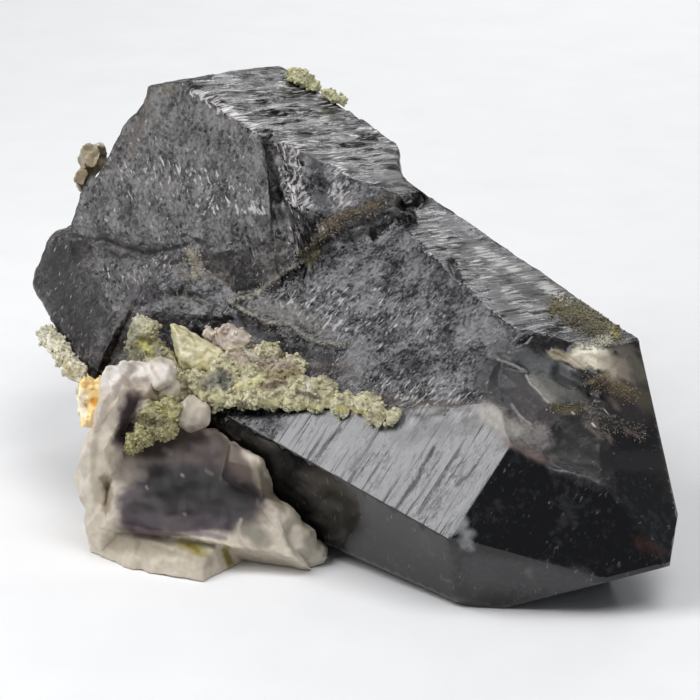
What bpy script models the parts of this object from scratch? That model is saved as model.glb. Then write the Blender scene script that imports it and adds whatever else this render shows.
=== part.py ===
"""Morion quartz, a specimen of dark smoky crystals grown together, lying on its side.

The main crystal lies with its point to the front right. A second crystal has grown parallel to it,
behind and to the left. A smaller smoky crystal with milky edges leans on its left side, and
crusts of feldspar and small quartz sit along the seams.

Everything is worked out from the crystals' own geometry: six prism faces 60 degrees apart round the
long axis, each with a sloping end face at quartz's own angle. A face is an outward direction and a
distance from the seed point, in millimetres. The seed point lies in the middle of the specimen.
"""

import math
import random

import bmesh
import bpy
from mathutils import Matrix, Vector, noise

MM = 0.001
GAP = 0.35
REACH = 150.0
SHORTEST_EDGE = 0.9

# How the specimen lies: heading and dip of the crystals' long axis, and the roll about it, in degrees.
TIP_HEADING = -41.6
TIP_DIP = 12.5
PRISM_ROLL = 50.6
PRISM_STEP = 60.0
END_FACE_ANGLE = 51.8

# From the seed point, in millimetres: down to the surface, and across to the middle of the part.
REST_HEIGHT = 35.5
MIDDLE_X = -1.41
MIDDLE_Y = 21.84

# Main crystal: distance to each face in millimetres, and how far it leans towards the point in degrees.
MAIN_PRISM = {
    "m1": (19.9, 2.6),
    "m2": (4.6, 1.8),
    "m3": (15.9, 5.0),
    "m4": (39.4, 3.5),
    "m5": (40.0, 0.0),
    "m6": (33.2, 8.3),
}
MAIN_END = {
    "r1": (38.1, 0.6),
    "r2": (26.7, -0.4),
    "r3": (30.9, -0.2),
    "r4": (49.5, -0.8),
    "r5": (54.0, 0.0),
    "r6": (48.9, -0.6),
}
MAIN_BACK = 42.0

# The rough shoulder cuts the edge between m2 and m3, and a chip takes the corner at the end faces.
SHOULDER = (Vector((-0.339, -0.460, 0.821)), 0.6)
CHIP = (Vector((0.365, -0.515, 0.775)), 19.2)
CHIP_PITCH = 9.0
CHIP_STEP = 1.6

# The rim on the shoulder, left of which it drops to a lower terrace, and the swelling behind it.
RIM_START = Vector((-21.1, 18.6, 2.4))
RIM_END = Vector((-3.4, 2.0, 0.4))
RIM_DROP = 1.8
RIM_FADE = 8.0
SWELL_CENTRE = Vector((-12.0, 22.0, 8.0))
SWELL_RADIUS = 20.0
SWELL_HEIGHT = 4.0

# Rear crystal, parallel to the main one, with a notch where its end stood against the shoulder.
REAR_PRISM = {"m2": (3.2, 1.8), "m3": (20.4, 5.0), "m4": (43.5, 3.5), "m5": (36.0, 0.0), "m6": (14.0, 0.0)}
REAR_END = {"r3": (9.5, -0.2), "r4": (16.5, -0.8)}
REAR_BACK = 65.5
REAR_LEFT = (Vector((-0.85, 0.50, -0.08)), (-50.0, 36.2, 14.6))
REAR_TOP_BACK = (Vector((-0.128, 0.241, 0.962)), (-26.9, 45.1, 35.4))
REAR_LOWER = (Vector((-0.429, -0.902, 0.05)), (-29.0, 22.2, 11.8))
NOTCH_WALL = (Vector((0.208, -0.795, 0.570)), (-15.0, 30.0, 29.4))
NOTCH_SIDE = (Vector((0.976, -0.108, 0.19)), (-15.0, 30.0, 29.4))
NOTCH_RIGHT = 40.0
NOTCH_BELOW = 5.0
NOTCH_OVER = 2.0
WALL_SWELL_CENTRE = Vector((6.0, 28.0, 20.0))
WALL_SWELL_RADIUS = 22.0
WALL_SWELL_HEIGHT = 5.0
WALL_FOOT_CENTRE = Vector((-11.5, 19.5, 12.5))
WALL_FOOT_RADIUS = 9.5
WALL_FOOT_HEIGHT = 3.4

# Left lobe: the dark face at the lower left and its rim; its sides lie this far inside the rear crystal.
LOBE_INSIDE = {"m2": 2.0, "m3": 4.0, "m4": 3.0}
LOBE_FACE = (Vector((-0.72, -0.62, 0.31)), (-49.1, 32.8, 10.9))
LOBE_FACES = {
    "upper": (Vector((-0.38, 0.20, 0.90)), (-55.0, 37.9, 8.0)),
    "outer": (Vector((-0.92, 0.25, 0.30)), (-58.6, 37.7, 0.0)),
    "under": (Vector((-0.793, -0.169, -0.585)), (-58.4, 36.6, -2.2)),
    "back": (Vector((0.10, 0.97, -0.20)), (-30.0, 61.0, -10.0)),
    "end": (Vector((0.73, -0.65, -0.216)), (-38.0, 22.0, 0.0)),
}

# Foot: the broken base that the specimen stands on behind, hidden from the front.
FOOT_FACES = {
    "top": (Vector((0.33, 0.0, 0.94)), (-20.0, 50.0, 2.0)),
    "left": (Vector((-0.97, -0.12, 0.20)), (-38.0, 50.0, -30.0)),
    "front": (Vector((-0.15, -0.97, 0.15)), (-20.0, 40.0, -30.0)),
    "back": (Vector((-0.20, 0.95, 0.25)), (-20.0, 63.0, -30.0)),
    "right": (Vector((0.92, 0.35, 0.18)), (-2.0, 50.0, -30.0)),
}

# Step: the ledge between the rear crystal and the shoulder, ending at a lower terrace on its left.
# Its left side lies behind the lobe's face, and its front is cut along m1.
STEP_BEHIND_LOBE = 1.8
STEP_FRONT = 17.0
STEP_FACES = {
    "top": (Vector((-0.148, -0.84, 0.52)), (-29.0, 22.5, 10.3)),
    "front": (Vector((-0.28, -0.90, 0.20)), (-36.8, 21.2, 6.3)),
    "right": (Vector((0.5, -0.5, 0.7)), (-19.0, 17.0, 4.2)),
    "under": (-SHOULDER[0], (-15.0, 10.0, -8.0)),
    "back": (Vector((0.3, 0.95, 0.0)), (-30.0, 34.0, 0.0)),
    "level": (Vector((-0.2, 0.3, 0.93)), (-29.0, 22.0, 10.5)),
}
STEP_BACK_END = (-41.0, 36.3, 12.0)

# Side crystal: the smoky core that leans on m1, the milky flange that it stands on and its milky edges.
SIDE_LEAN_ON = (-28.7, 0.0, 0.0)
SIDE_BEHIND = (Vector((-0.30, 0.95, 0.10)), (-40.0, 11.0, -30.0))
SIDE_CORE = {
    "front": (Vector((0.0, -0.75, 0.66)), (-24.0, -15.0, -29.0)),
    "left": (Vector((-0.97, -0.12, 0.2)), (-40.5, -8.0, -20.0)),
    "top": (Vector((0.1, 0.3, 0.95)), (-31.0, -1.8, -13.0)),
    "right": (Vector((0.85, -0.02, 0.52)), (-20.2, -5.0, -11.8)),
    "lower": (Vector((-0.2, -0.6, -0.8)), (-18.7, -16.1, -30.2)),
}
SIDE_FLANGE = {
    "top": (Vector((-0.05, -0.45, 0.89)), (-26.0, -15.0, -30.9)),
    "left": (Vector((-0.99, -0.15, 0.2)), (-45.8, 0.0, -35.5)),
    "front left": (Vector((-0.707, -0.707, 0.3)), (-41.2, -9.7, -35.5)),
    "front": (Vector((-0.36, -0.93, 0.35)), (-31.5, -16.2, -35.5)),
    "right": (Vector((0.8, -0.6, 0.2)), (-22.5, -14.7, -35.5)),
}
UP = (0.0, 0.0, 1.0)
LEANING = (0.45, -0.2, -0.85)
SIDE_EDGES = [
    ((-39.6, -0.5, -6.6), 3.2),
    ((-36.2, 0.0, -5.6), 3.8),
    ((-32.4, 1.0, -4.8), 3.0),
    ((-31.2, 0.0, -7.4), 2.3),
    ((-37.0, 2.0, -10.0), 5.0),
    ((-40.2, -3.0, -10.5), 2.7, (0.4, 0.0, 1.0), 6.4),
    ((-42.8, -4.0, -17.5), 2.9, UP, 6.6),
    ((-43.3, -4.0, -23.5), 3.0, UP, 6.6),
    ((-42.2, -4.5, -30.0), 3.1, UP, 5.6),
    ((-26.6, -2.4, -11.4), 3.0),
    ((-17.0, -6.5, -21.0), 2.8, LEANING, 7.5),
    ((-12.5, -8.5, -28.5), 3.1, LEANING, 6.5),
    ((-9.2, -9.0, -32.0), 3.4),
    ((-6.2, -9.4, -33.6), 2.5),
]

# Lumps of the crusts and small crystals: a centre, a radius and, where it is long, a direction and half length.
CREAM = [((-27.8, 8.2, -3.5), 2.3, (5.5, -9.0, -3.9), 6.4)]
PINK = [
    ((-23.4, 10.2, -2.2), 1.7, (-0.4, 0.3, 0.9), 3.0),
    ((-21.4, 9.6, -1.8), 1.8, (0.1, 0.5, 0.8), 3.0),
    ((-19.4, 9.0, -2.0), 1.7, (0.5, 0.2, 0.8), 2.6),
    ((-20.6, 7.6, -2.8), 1.6),
]
SIDE_CRUST = [
    ((-33.6, -3.6, -10.6), 2.5),
    ((-30.6, -3.0, -10.0), 2.4),
    ((-31.6, -4.4, -12.6), 2.0),
    ((-35.4, -4.4, -13.6), 1.9),
    ((-36.6, -5.0, -16.0), 1.6),
]
ORANGE = [((-43.4, 15.6, -15.2), 3.3, (0.1, 0.2, 1.0), 4.6), ((-45.6, 15.4, -13.8), 2.5)]
GRAINS = [((-10.8, 63.4, 31.0), 1.7), ((-8.6, 63.2, 30.4), 1.8), ((-7.2, 62.2, 29.2), 1.4)]
SMALL_GRAINS = [((-3.6, 60.2, 28.0), 1.3), ((-2.0, 59.2, 27.4), 1.2)]
BROWN_LUMP = [((-45.4, 42.4, 20.6), 2.9), ((-46.5, 40.6, 18.2), 2.3)]


def along(heading, dip):
    """The direction with this heading from +X towards +Y and this dip below level, in degrees."""
    turn = Matrix.Rotation(math.radians(heading), 3, "Z") @ Matrix.Rotation(math.radians(dip), 3, "Y")
    return turn @ Vector((1, 0, 0))


AXIS = along(TIP_HEADING, TIP_DIP)
SIDEWAYS = AXIS.cross(Vector((0, 0, 1))).normalized()
UPWARDS = SIDEWAYS.cross(AXIS)
FLOOR = (Vector((0, 0, -1)), REST_HEIGHT)


def prism_normal(face, lean):
    """Outward normal of prism face m1 to m6, leaning towards the point."""
    turn = math.radians(PRISM_ROLL - PRISM_STEP * (int(face[1]) - 2))
    outward = math.cos(turn) * UPWARDS + math.sin(turn) * SIDEWAYS
    return math.cos(math.radians(lean)) * outward + math.sin(math.radians(lean)) * AXIS


def end_normal(face, lean):
    """Outward normal of end face r1 to r6, which stands over the prism face of the same number."""
    tilt = math.radians(END_FACE_ANGLE + lean)
    return math.sin(tilt) * prism_normal(face, 0) + math.cos(tilt) * AXIS


def crystal_faces(prism, end):
    """Face name to (normal, distance), from a crystal's tables of distances and leans."""
    faces = {name: (prism_normal(name, lean), distance) for name, (distance, lean) in prism.items()}
    faces.update({name: (end_normal(name, lean), distance) for name, (distance, lean) in end.items()})
    return faces


def face_through(normal, point):
    """A face from its direction and a point on it."""
    normal = normal.normalized()
    return normal, normal.dot(Vector(point))


def block(faces, grow=0.0):
    """A solid bounded by these faces, each moved outwards by grow, and the layer that names its faces."""
    bm = bmesh.new()
    bmesh.ops.create_cube(bm, size=2 * REACH)
    kind = bm.faces.layers.int.new("kind")
    for number, (normal, distance) in enumerate(faces.values(), 1):
        geometry = bm.verts[:] + bm.edges[:] + bm.faces[:]
        cut = bmesh.ops.bisect_plane(
            bm, geom=geometry, dist=1e-4, plane_co=normal * (distance + grow), plane_no=normal, clear_outer=True
        )
        rim = [item for item in cut["geom_cut"] if isinstance(item, bmesh.types.BMEdge)]
        if rim:
            for cap in bmesh.ops.edgeloop_fill(bm, edges=rim)["faces"]:
                cap[kind] = number
    bmesh.ops.recalc_face_normals(bm, faces=bm.faces[:])
    return bm, kind


def dice(bm, kind, number, normal, spacing, turn):
    """Cuts one flat face into a grid, so that its points can be moved."""
    level = AXIS if abs(normal.dot(AXIS)) < 0.9 else UPWARDS
    first = Matrix.Rotation(math.radians(turn), 3, normal) @ normal.cross(level).normalized()
    for direction, pitch in ((first, spacing[0]), (normal.cross(first), spacing[1])):
        reach = [v.co.dot(direction) / pitch for f in bm.faces if f[kind] == number for v in f.verts]
        for step in range(math.ceil(min(reach)), math.floor(max(reach)) + 1):
            faces = [f for f in bm.faces if f[kind] == number]
            geometry = list({item for f in faces for item in (f, *f.edges, *f.verts)})
            bmesh.ops.bisect_plane(
                bm, geom=geometry, dist=1e-4, plane_co=direction * step * pitch, plane_no=direction
            )


def merge_short_edges(bm, kind, limit):
    """Closes edges shorter than this, keeping the end where more faces meet."""
    targets = {}
    for edge in bm.edges:
        if edge.calc_length() < limit:
            loose, kept = sorted(edge.verts, key=lambda vert: len({f[kind] for f in vert.link_faces}))
            if not {loose, kept} & (targets.keys() | set(targets.values())):
                targets[loose] = kept
    bmesh.ops.weld_verts(bm, targetmap=targets)


def roughen(bm, kind, faces, rough, grow):
    """Moves the points of the rough faces inwards, and along the flat faces that they touch."""
    numbers = {name: number for number, name in enumerate(faces, 1)}
    names = {number: name for name, number in numbers.items()}
    for name, (spacing, turn, _) in rough.items():
        dice(bm, kind, numbers[name], faces[name][0], spacing, turn)
    merge_short_edges(bm, kind, SHORTEST_EDGE)
    moves = {}
    for vert in bm.verts:
        touched = {names[f[kind]] for f in vert.link_faces if f[kind] in names}
        push = Vector()
        for name in touched & rough.keys():
            normal = faces[name][0]
            push -= normal * rough[name][2](vert.co - normal * grow)
        flat = []
        for name in sorted(touched - rough.keys()):
            normal = faces[name][0].copy()
            for other in flat:
                normal -= other * normal.dot(other)
            if normal.length > 1e-3:
                flat.append(normal.normalized())
        for normal in flat:
            push -= normal * push.dot(normal)
        moves[vert] = push
    for vert, push in moves.items():
        vert.co += push
        vert.co.z = max(vert.co.z, -REST_HEIGHT - grow)
    bmesh.ops.triangulate(bm, faces=bm.faces[:])


def bumps(point, size, depth):
    """A depth from 0 to about this one that rises and falls over this size."""
    return depth * (0.5 + 0.5 * noise.noise(point / size))


def ridges(point, direction, pitch, depth):
    """A depth that falls to a groove and rises to a ridge along a direction, waving as real ones do."""
    place = point.dot(direction) / pitch + 0.7 * noise.noise(point / (2.5 * pitch))
    return depth * abs(2 * (place % 1.0) - 1)


def drop_beyond(point, normal, distance, width, depth):
    """A depth that sets in across a line, over this width."""
    place = (point.dot(normal) - distance) / width
    return depth * min(max(place, 0.0), 1.0)


def swell(point, centre, radius, height):
    """A height that rises smoothly to the centre of a round swelling."""
    return height * max(0.0, 1 - ((point - centre).length / radius) ** 2) ** 2


def shoulder_depth(point):
    """The rough shoulder, with a swelling at the rear crystal and a lower terrace left of its rim."""
    rim_along = (RIM_END - RIM_START).normalized()
    rim_across = rim_along.cross(SHOULDER[0]).normalized()
    fade = 1 - drop_beyond(point, rim_along, RIM_END.dot(rim_along), RIM_FADE, 1.0)
    terrace = drop_beyond(point, rim_across, RIM_START.dot(rim_across), 2.5, RIM_DROP) * fade
    rise = swell(point, SWELL_CENTRE, SWELL_RADIUS, SWELL_HEIGHT)
    return terrace + bumps(point, 13.0, 1.4) + bumps(point, 4.5, 0.9) - rise


def chip_depth(point):
    """Shell-shaped terraces that step down towards the point."""
    steps = ridges(point, (AXIS + UPWARDS * 0.6).normalized(), CHIP_PITCH, CHIP_STEP)
    return steps + bumps(point, 6.0, 0.8)


def wall_height(point):
    """The ridged wall above the notch, standing out most at its right and at its left foot."""
    grooves = ridges(point, Vector((0.97, 0.0, 0.26)), 4.2, 1.3) + bumps(point, 6.0, 0.8)
    foot_rise = swell(point, WALL_FOOT_CENTRE, WALL_FOOT_RADIUS, WALL_FOOT_HEIGHT)
    return swell(point, WALL_SWELL_CENTRE, WALL_SWELL_RADIUS, WALL_SWELL_HEIGHT) + foot_rise - grooves


def striped_depth(point):
    """Fine growth steps across the long axis."""
    return ridges(point, AXIS, 3.6, 0.5) + bumps(point, 12.0, 0.8)


def grainy_depth(point):
    """Low uneven ground."""
    return bumps(point, 9.0, 0.9) + bumps(point, 3.5, 0.5)


def broken_depth(point):
    """Deep hollows and lumps where the specimen broke off its rock."""
    return bumps(point, 16.0, 2.4) + bumps(point, 6.0, 1.4)


def helper(name, bm):
    """A hidden mesh that another solid is joined with or cut by."""
    mesh = bpy.data.meshes.new(name)
    bmesh.ops.scale(bm, vec=(MM, MM, MM), verts=bm.verts[:])
    bm.to_mesh(mesh)
    bm.free()
    solid = bpy.data.objects.new(name, mesh)
    solid.location = Vector((-MIDDLE_X, -MIDDLE_Y, REST_HEIGHT)) * MM
    solid.hide_render = True
    solid.display_type = "WIRE"
    cutters.objects.link(solid)
    return solid


def combine(solid, operation, others):
    """Joins or cuts a solid with others by Boolean modifiers."""
    for other in others:
        modifier = solid.modifiers.new(f"{operation.lower()} {other.name}", "BOOLEAN")
        modifier.operation = operation
        modifier.solver = "MANIFOLD"
        modifier.object = other


def rough_block(name, faces, rough, grow=0.0):
    """A helper solid from its faces, with the rough ones given relief."""
    bm, kind = block(faces, grow)
    roughen(bm, kind, faces, rough, grow)
    return helper(name, bm)


def main_crystal(name, grow=0.0):
    """The large crystal in front, down to the surface it stands on."""
    faces = crystal_faces(MAIN_PRISM, MAIN_END)
    faces["back"] = (-AXIS, MAIN_BACK)
    faces["shoulder"] = (SHOULDER[0].normalized(), SHOULDER[1])
    faces["chip"] = (CHIP[0].normalized(), CHIP[1])
    faces["floor"] = FLOOR
    rough = {
        "shoulder": ((2.8, 2.8), 20, shoulder_depth),
        "chip": ((2.6, 2.6), 0, chip_depth),
    }
    return rough_block(name, faces, rough, grow)


def rear_faces():
    """The flat faces of the parallel crystal behind, before its end is cut back."""
    faces = crystal_faces(REAR_PRISM, REAR_END)
    faces["back"] = (-AXIS, REAR_BACK)
    faces["top back"] = face_through(*REAR_TOP_BACK)
    faces["left"] = face_through(*REAR_LEFT)
    faces["lower"] = face_through(*REAR_LOWER)
    return faces


def rear_crystal(name, grow=0.0):
    """The rear crystal, whose relief is pressed in from its flat faces."""
    rough = {
        "m2": ((3.2, 3.2), 10, grainy_depth),
        "m3": ((4.0, 2.0), 0, striped_depth),
        "back": ((5.0, 5.0), 0, broken_depth),
        "left": ((4.0, 4.0), 0, grainy_depth),
        "lower": ((3.2, 3.2), 30, grainy_depth),
        "r4": ((4.0, 4.0), 0, grainy_depth),
        "m6": ((6.0, 6.0), 0, broken_depth),
    }
    return rough_block(name, rear_faces(), rough, grow)


def notch(name, grow=0.0):
    """The space in front of the rear crystal's end, which it is cut by."""
    wall_normal, wall_distance = face_through(*NOTCH_WALL)
    side_normal, side_distance = face_through(*NOTCH_SIDE)
    faces = {
        "wall": (-wall_normal, -wall_distance),
        "side": (-side_normal, -side_distance),
        "top": (prism_normal("m3", 5.0), REAR_PRISM["m3"][0] + NOTCH_OVER),
        "right": (AXIS, NOTCH_RIGHT),
        "below": (-SHOULDER[0], NOTCH_BELOW),
    }
    rough = {
        "wall": ((1.6, 4.0), -15, wall_height),
    }
    return rough_block(name, faces, rough, -grow)


def left_lobe(name, grow=0.0):
    """The dark lobe at the lower left, under the rear crystal."""
    faces = {side: face_through(*place) for side, place in LOBE_FACES.items()}
    faces["face"] = face_through(*LOBE_FACE)
    for side, inside in LOBE_INSIDE.items():
        distance, lean = REAR_PRISM[side]
        faces[side] = (prism_normal(side, lean), distance - inside)
    faces["floor"] = FLOOR
    rough = {
        "face": ((3.0, 3.0), 15, grainy_depth),
        "outer": ((4.0, 4.0), 0, grainy_depth),
        "upper": ((4.0, 4.0), 0, grainy_depth),
        "under": ((5.0, 5.0), 0, grainy_depth),
        "m2": ((3.2, 3.2), 0, grainy_depth),
        "back": ((6.0, 6.0), 20, broken_depth),
    }
    return rough_block(name, faces, rough, grow)


def foot(name, grow=0.0):
    """The broken base behind."""
    faces = {side: face_through(*place) for side, place in FOOT_FACES.items()}
    faces["floor"] = FLOOR
    rough = {side: ((6.0, 6.0), 0, broken_depth) for side in ("left", "front", "back", "right")}
    return rough_block(name, faces, rough, grow)


def step_ledge(name, grow=0.0):
    """The ledge between the rear crystal and the shoulder."""
    faces = {side: face_through(*place) for side, place in STEP_FACES.items()}
    faces["back end"] = face_through(-AXIS, STEP_BACK_END)
    normal, distance = face_through(*LOBE_FACE)
    faces["face"] = (normal, distance - STEP_BEHIND_LOBE)
    faces["m1"] = (prism_normal("m1", MAIN_PRISM["m1"][1]), STEP_FRONT)
    distance, lean = REAR_PRISM["m2"]
    faces["m2"] = (prism_normal("m2", lean), distance - LOBE_INSIDE["m2"])
    rough = {side: ((3.0, 3.0), 20, grainy_depth) for side in ("top", "front", "right", "m2", "level")}
    return rough_block(name, faces, rough, grow)


def crystals(name, grow=0.0):
    """The main crystal, the rear crystal, its lobe and its step, joined in one solid."""
    rear = rear_crystal(f"{name} rear", grow)
    combine(rear, "DIFFERENCE", [notch(f"{name} notch", grow)])
    body = main_crystal(name, grow)
    others = [left_lobe(f"{name} lobe", grow), foot(f"{name} foot", grow), step_ledge(f"{name} step", grow)]
    combine(body, "UNION", [rear, *others])
    return body


GOLDEN_TURN = math.pi * (3 - math.sqrt(5))


def lump_faces(centre, radius, sides, chance, stretch=(0, 0, 1), length=None):
    """Faces of an angular lump, spread evenly round it and each a little out of place."""
    centre = Vector(centre)
    stretch = Vector(stretch).normalized()
    length = length or radius
    faces = {}
    for number in range(sides):
        height = 1 - (2 * number + 1) / sides
        turn = number * GOLDEN_TURN + chance.uniform(-0.35, 0.35)
        ring = math.sqrt(1 - height * height)
        tilt = height + chance.uniform(-0.12, 0.12)
        normal = Vector((ring * math.cos(turn), ring * math.sin(turn), tilt)).normalized()
        part_along = normal.dot(stretch) ** 2
        size = math.sqrt(radius**2 * (1 - part_along) + length**2 * part_along)
        faces[number] = (normal, normal.dot(centre) + size * chance.uniform(0.82, 1.0))
    return faces


def row(start, end, count, first, last):
    """Centres and radii of lumps in a row, from the first radius to the last."""
    start, end = Vector(start), Vector(end)
    places = []
    for number in range(count):
        share = number / max(count - 1, 1)
        places.append((start.lerp(end, share), first + (last - first) * share))
    return places


def lumps(name, places, seed, grow=0.0, sides=9, stray=0.6):
    """Lumps that overlap, in one helper: each place is a centre, a radius and perhaps a direction."""
    chance = random.Random(seed)
    solids = []
    for centre, radius, *longer in places:
        shift = Vector([chance.uniform(-stray, stray) for _ in range(3)])
        solids.append(block(lump_faces(Vector(centre) + shift, radius, sides, chance, *longer), grow)[0])
    joined = solids.pop()
    for bm in solids:
        mesh = bpy.data.meshes.new("lump")
        bm.to_mesh(mesh)
        bm.free()
        joined.from_mesh(mesh)
        bpy.data.meshes.remove(mesh)
    bmesh.ops.triangulate(joined, faces=joined.faces[:])
    return helper(name, joined)


def floor_cutter(name):
    """All that lies below the surface that the part stands on."""
    bm, _ = block({"top": (Vector((0, 0, 1)), -REST_HEIGHT)})
    return helper(name, bm)


def side_crystal(name, grow=0.0):
    """The side crystal: its smoky core, its flange and its milky edges, joined in one solid."""
    shared = {
        "wall": face_through(-prism_normal("m1", MAIN_PRISM["m1"][1]), SIDE_LEAN_ON),
        "behind": face_through(*SIDE_BEHIND),
        "floor": FLOOR,
    }
    core = {side: face_through(*place) for side, place in SIDE_CORE.items()} | shared
    rough = {side: ((4.0, 4.0), 0, grainy_depth) for side in ("front", "right", "lower")}
    solid = rough_block(name, core, rough, grow)
    flange = {side: face_through(*place) for side, place in SIDE_FLANGE.items()} | shared
    flange_rough = {side: ((3.0, 3.0), 20, grainy_depth) for side in ("top", "front", "front left")}
    edges = lumps(f"{name} edges", SIDE_EDGES, 11, grow, 14)
    merge_overlaps(edges, SIDE_EDGES[0][0])
    combine(solid, "UNION", [rough_block(f"{name} flange", flange, flange_rough, grow), edges])
    return solid


def flat_row(start, end, count, first, last, height):
    """A row of lumps that lie flat on the shoulder."""
    return [(centre, size, SHOULDER[0], height) for centre, size in row(start, end, count, first, last)]


def cluster(centre, spread, count, size, seed):
    """Places for small lumps crowded round a centre."""
    chance = random.Random(seed)
    places = []
    for _ in range(count):
        shift = Vector([chance.gauss(0, reach) for reach in spread])
        places.append((Vector(centre) + shift, size * chance.uniform(0.8, 1.25)))
    return places


# Feldspar crust: rows and single lumps along the seam between the shoulder and the side crystal.
FELDSPAR = [
    *flat_row((-20.7, 0.1, -6.7), (2.7, -12.3, -5.8), 7, 3.6, 2.2, 2.0),
    *flat_row((-20.0, 3.8, -5.2), (-4.4, -6.4, -4.4), 5, 3.7, 2.4, 1.9),
    *flat_row((-18.6, 7.0, -3.8), (-9.5, 1.2, -2.9), 3, 3.0, 2.0, 1.6),
    *flat_row((4.6, -14.4, -6.2), (7.6, -16.6, -6.1), 2, 2.2, 1.6, 1.1),
    ((-25.4, 3.4, -7.2), 2.9),
    ((-24.4, 0.6, -8.4), 2.8),
    ((-28.0, 4.5, -8.6), 2.6),
    *row((-29.5, 7.5, -6.6), (-33.5, 12.0, -5.4), 3, 2.2, 2.4),
    *cluster((-35.8, 13.4, -3.8), (1.5, 1.2, 1.8), 9, 1.9, 21),
]
EDGE_CRUST = row((-54.2, 29.6, -8.4), (-46.6, 17.6, -12.6), 6, 2.0, 1.7)


def merge_overlaps(solid, place):
    """Turns the overlapping lumps of a helper into one skin, with a small lump inside one of them."""
    heart, _ = block(lump_faces(place, 0.6, 8, random.Random(1)))
    modifier = solid.modifiers.new("one skin", "BOOLEAN")
    modifier.operation = "UNION"
    modifier.solver = "EXACT"
    modifier.use_self = True
    modifier.object = helper(f"{solid.name} heart", heart)


def skin(name, places, seed, grow=0.0):
    """Overlapping lumps as one closed skin."""
    solid = lumps(name, places, seed, grow)
    if len(places) > 1:
        merge_overlaps(solid, places[0][0])
    return solid


def crust(name, places, seed, neighbours):
    """A crust of lumps, cut back to a clearance from the pieces that it sits on."""
    solid = skin(name, places, seed)
    combine(solid, "DIFFERENCE", neighbours)
    return solid


def finish(solid, colour, roughness):
    """Makes a helper one of the part's own pieces, with its own material."""
    cutters.objects.unlink(solid)
    parts.objects.link(solid)
    solid.hide_render = False
    solid.display_type = "TEXTURED"
    material = bpy.data.materials.new(solid.name)
    material.use_nodes = True
    shader = material.node_tree.nodes["Principled BSDF"]
    shader.inputs["Base Color"].default_value = (*colour, 1)
    shader.inputs["Roughness"].default_value = roughness
    solid.data.materials.append(material)


for old in list(bpy.data.objects):
    bpy.data.objects.remove(old)
parts = bpy.data.collections.new("morion_quartz")
cutters = bpy.data.collections.new("cutters")
bpy.context.scene.collection.children.link(parts)
bpy.context.scene.collection.children.link(cutters)

near_crystals = crystals("near crystals", GAP)
near_side = side_crystal("near side", GAP)
near_cream = skin("near cream", CREAM, 5, GAP)
near_pink = skin("near pink", PINK, 8, GAP)
near_orange = skin("near orange", ORANGE, 4, GAP)
near_wall = helper("near wall", block(rear_faces())[0])
hosts = [near_crystals, near_side]

dark = crystals("morion_crystals")
finish(dark, (0.02, 0.02, 0.025), 0.2)
side = side_crystal("side_crystal")
combine(side, "DIFFERENCE", [near_crystals, floor_cutter("below the surface")])
finish(side, (0.30, 0.27, 0.25), 0.25)
finish(crust("cream_crystal", CREAM, 5, hosts), (0.72, 0.68, 0.48), 0.35)
finish(crust("pink_crystals", PINK, 8, [near_crystals, near_cream]), (0.75, 0.66, 0.62), 0.35)
finish(crust("feldspar_crust", FELDSPAR, 3, [*hosts, near_cream, near_pink]), (0.50, 0.48, 0.30), 0.55)
finish(crust("side_crust", SIDE_CRUST, 9, hosts), (0.33, 0.33, 0.16), 0.7)
finish(crust("orange_feldspar_chip", ORANGE, 4, hosts), (0.85, 0.55, 0.2), 0.5)
finish(crust("edge_crust", EDGE_CRUST, 6, [near_crystals, near_orange]), (0.60, 0.52, 0.32), 0.6)
finish(crust("top_edge_grains", GRAINS, 2, [near_crystals]), (0.55, 0.55, 0.38), 0.6)
finish(crust("top_edge_grains_small", SMALL_GRAINS, 7, [near_crystals]), (0.55, 0.55, 0.38), 0.6)
finish(crust("brown_lump", BROWN_LUMP, 12, [near_wall]), (0.35, 0.26, 0.14), 0.4)
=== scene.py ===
# %% [markdown]
# # A morion quartz specimen
# Morion is smoky quartz that has grown so dark that it looks black. This one has a large pointed
# crystal in front, a second one grown parallel behind it, a small milky crystal leaning on its left
# side, and crusts of yellow-green feldspar where they meet.
# The CAD model already has the crystals at their real size, so this lesson keeps every place and
# size from it, and gives each piece the fine surface and the finish that the real mineral has.

# %% Load the CAD frame
import math
import random

import bmesh
import bpy
import numpy as np
from mathutils import Matrix, Vector, noise


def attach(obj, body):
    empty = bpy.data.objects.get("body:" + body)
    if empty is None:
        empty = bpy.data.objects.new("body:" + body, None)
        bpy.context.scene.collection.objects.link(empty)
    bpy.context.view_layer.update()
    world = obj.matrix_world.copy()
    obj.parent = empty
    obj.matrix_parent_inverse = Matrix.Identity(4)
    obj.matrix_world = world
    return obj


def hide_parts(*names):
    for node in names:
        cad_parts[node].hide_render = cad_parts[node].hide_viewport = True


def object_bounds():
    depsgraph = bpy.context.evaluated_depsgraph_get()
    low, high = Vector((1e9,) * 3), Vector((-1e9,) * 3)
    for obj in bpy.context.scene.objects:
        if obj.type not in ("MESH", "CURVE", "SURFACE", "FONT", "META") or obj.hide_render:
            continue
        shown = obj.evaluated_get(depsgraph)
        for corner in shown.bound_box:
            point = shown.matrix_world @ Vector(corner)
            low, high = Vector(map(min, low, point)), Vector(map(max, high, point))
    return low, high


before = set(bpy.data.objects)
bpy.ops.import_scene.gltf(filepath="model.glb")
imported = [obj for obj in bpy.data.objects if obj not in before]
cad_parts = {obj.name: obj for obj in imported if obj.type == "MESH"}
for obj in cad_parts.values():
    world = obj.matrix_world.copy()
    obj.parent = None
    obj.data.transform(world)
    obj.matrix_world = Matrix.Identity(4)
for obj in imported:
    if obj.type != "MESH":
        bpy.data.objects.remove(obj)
cad_low, cad_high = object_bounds()
MM = 0.001
print("CAD box in mm:", [round((b - a) / MM, 1) for a, b in zip(cad_low, cad_high)])

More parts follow.
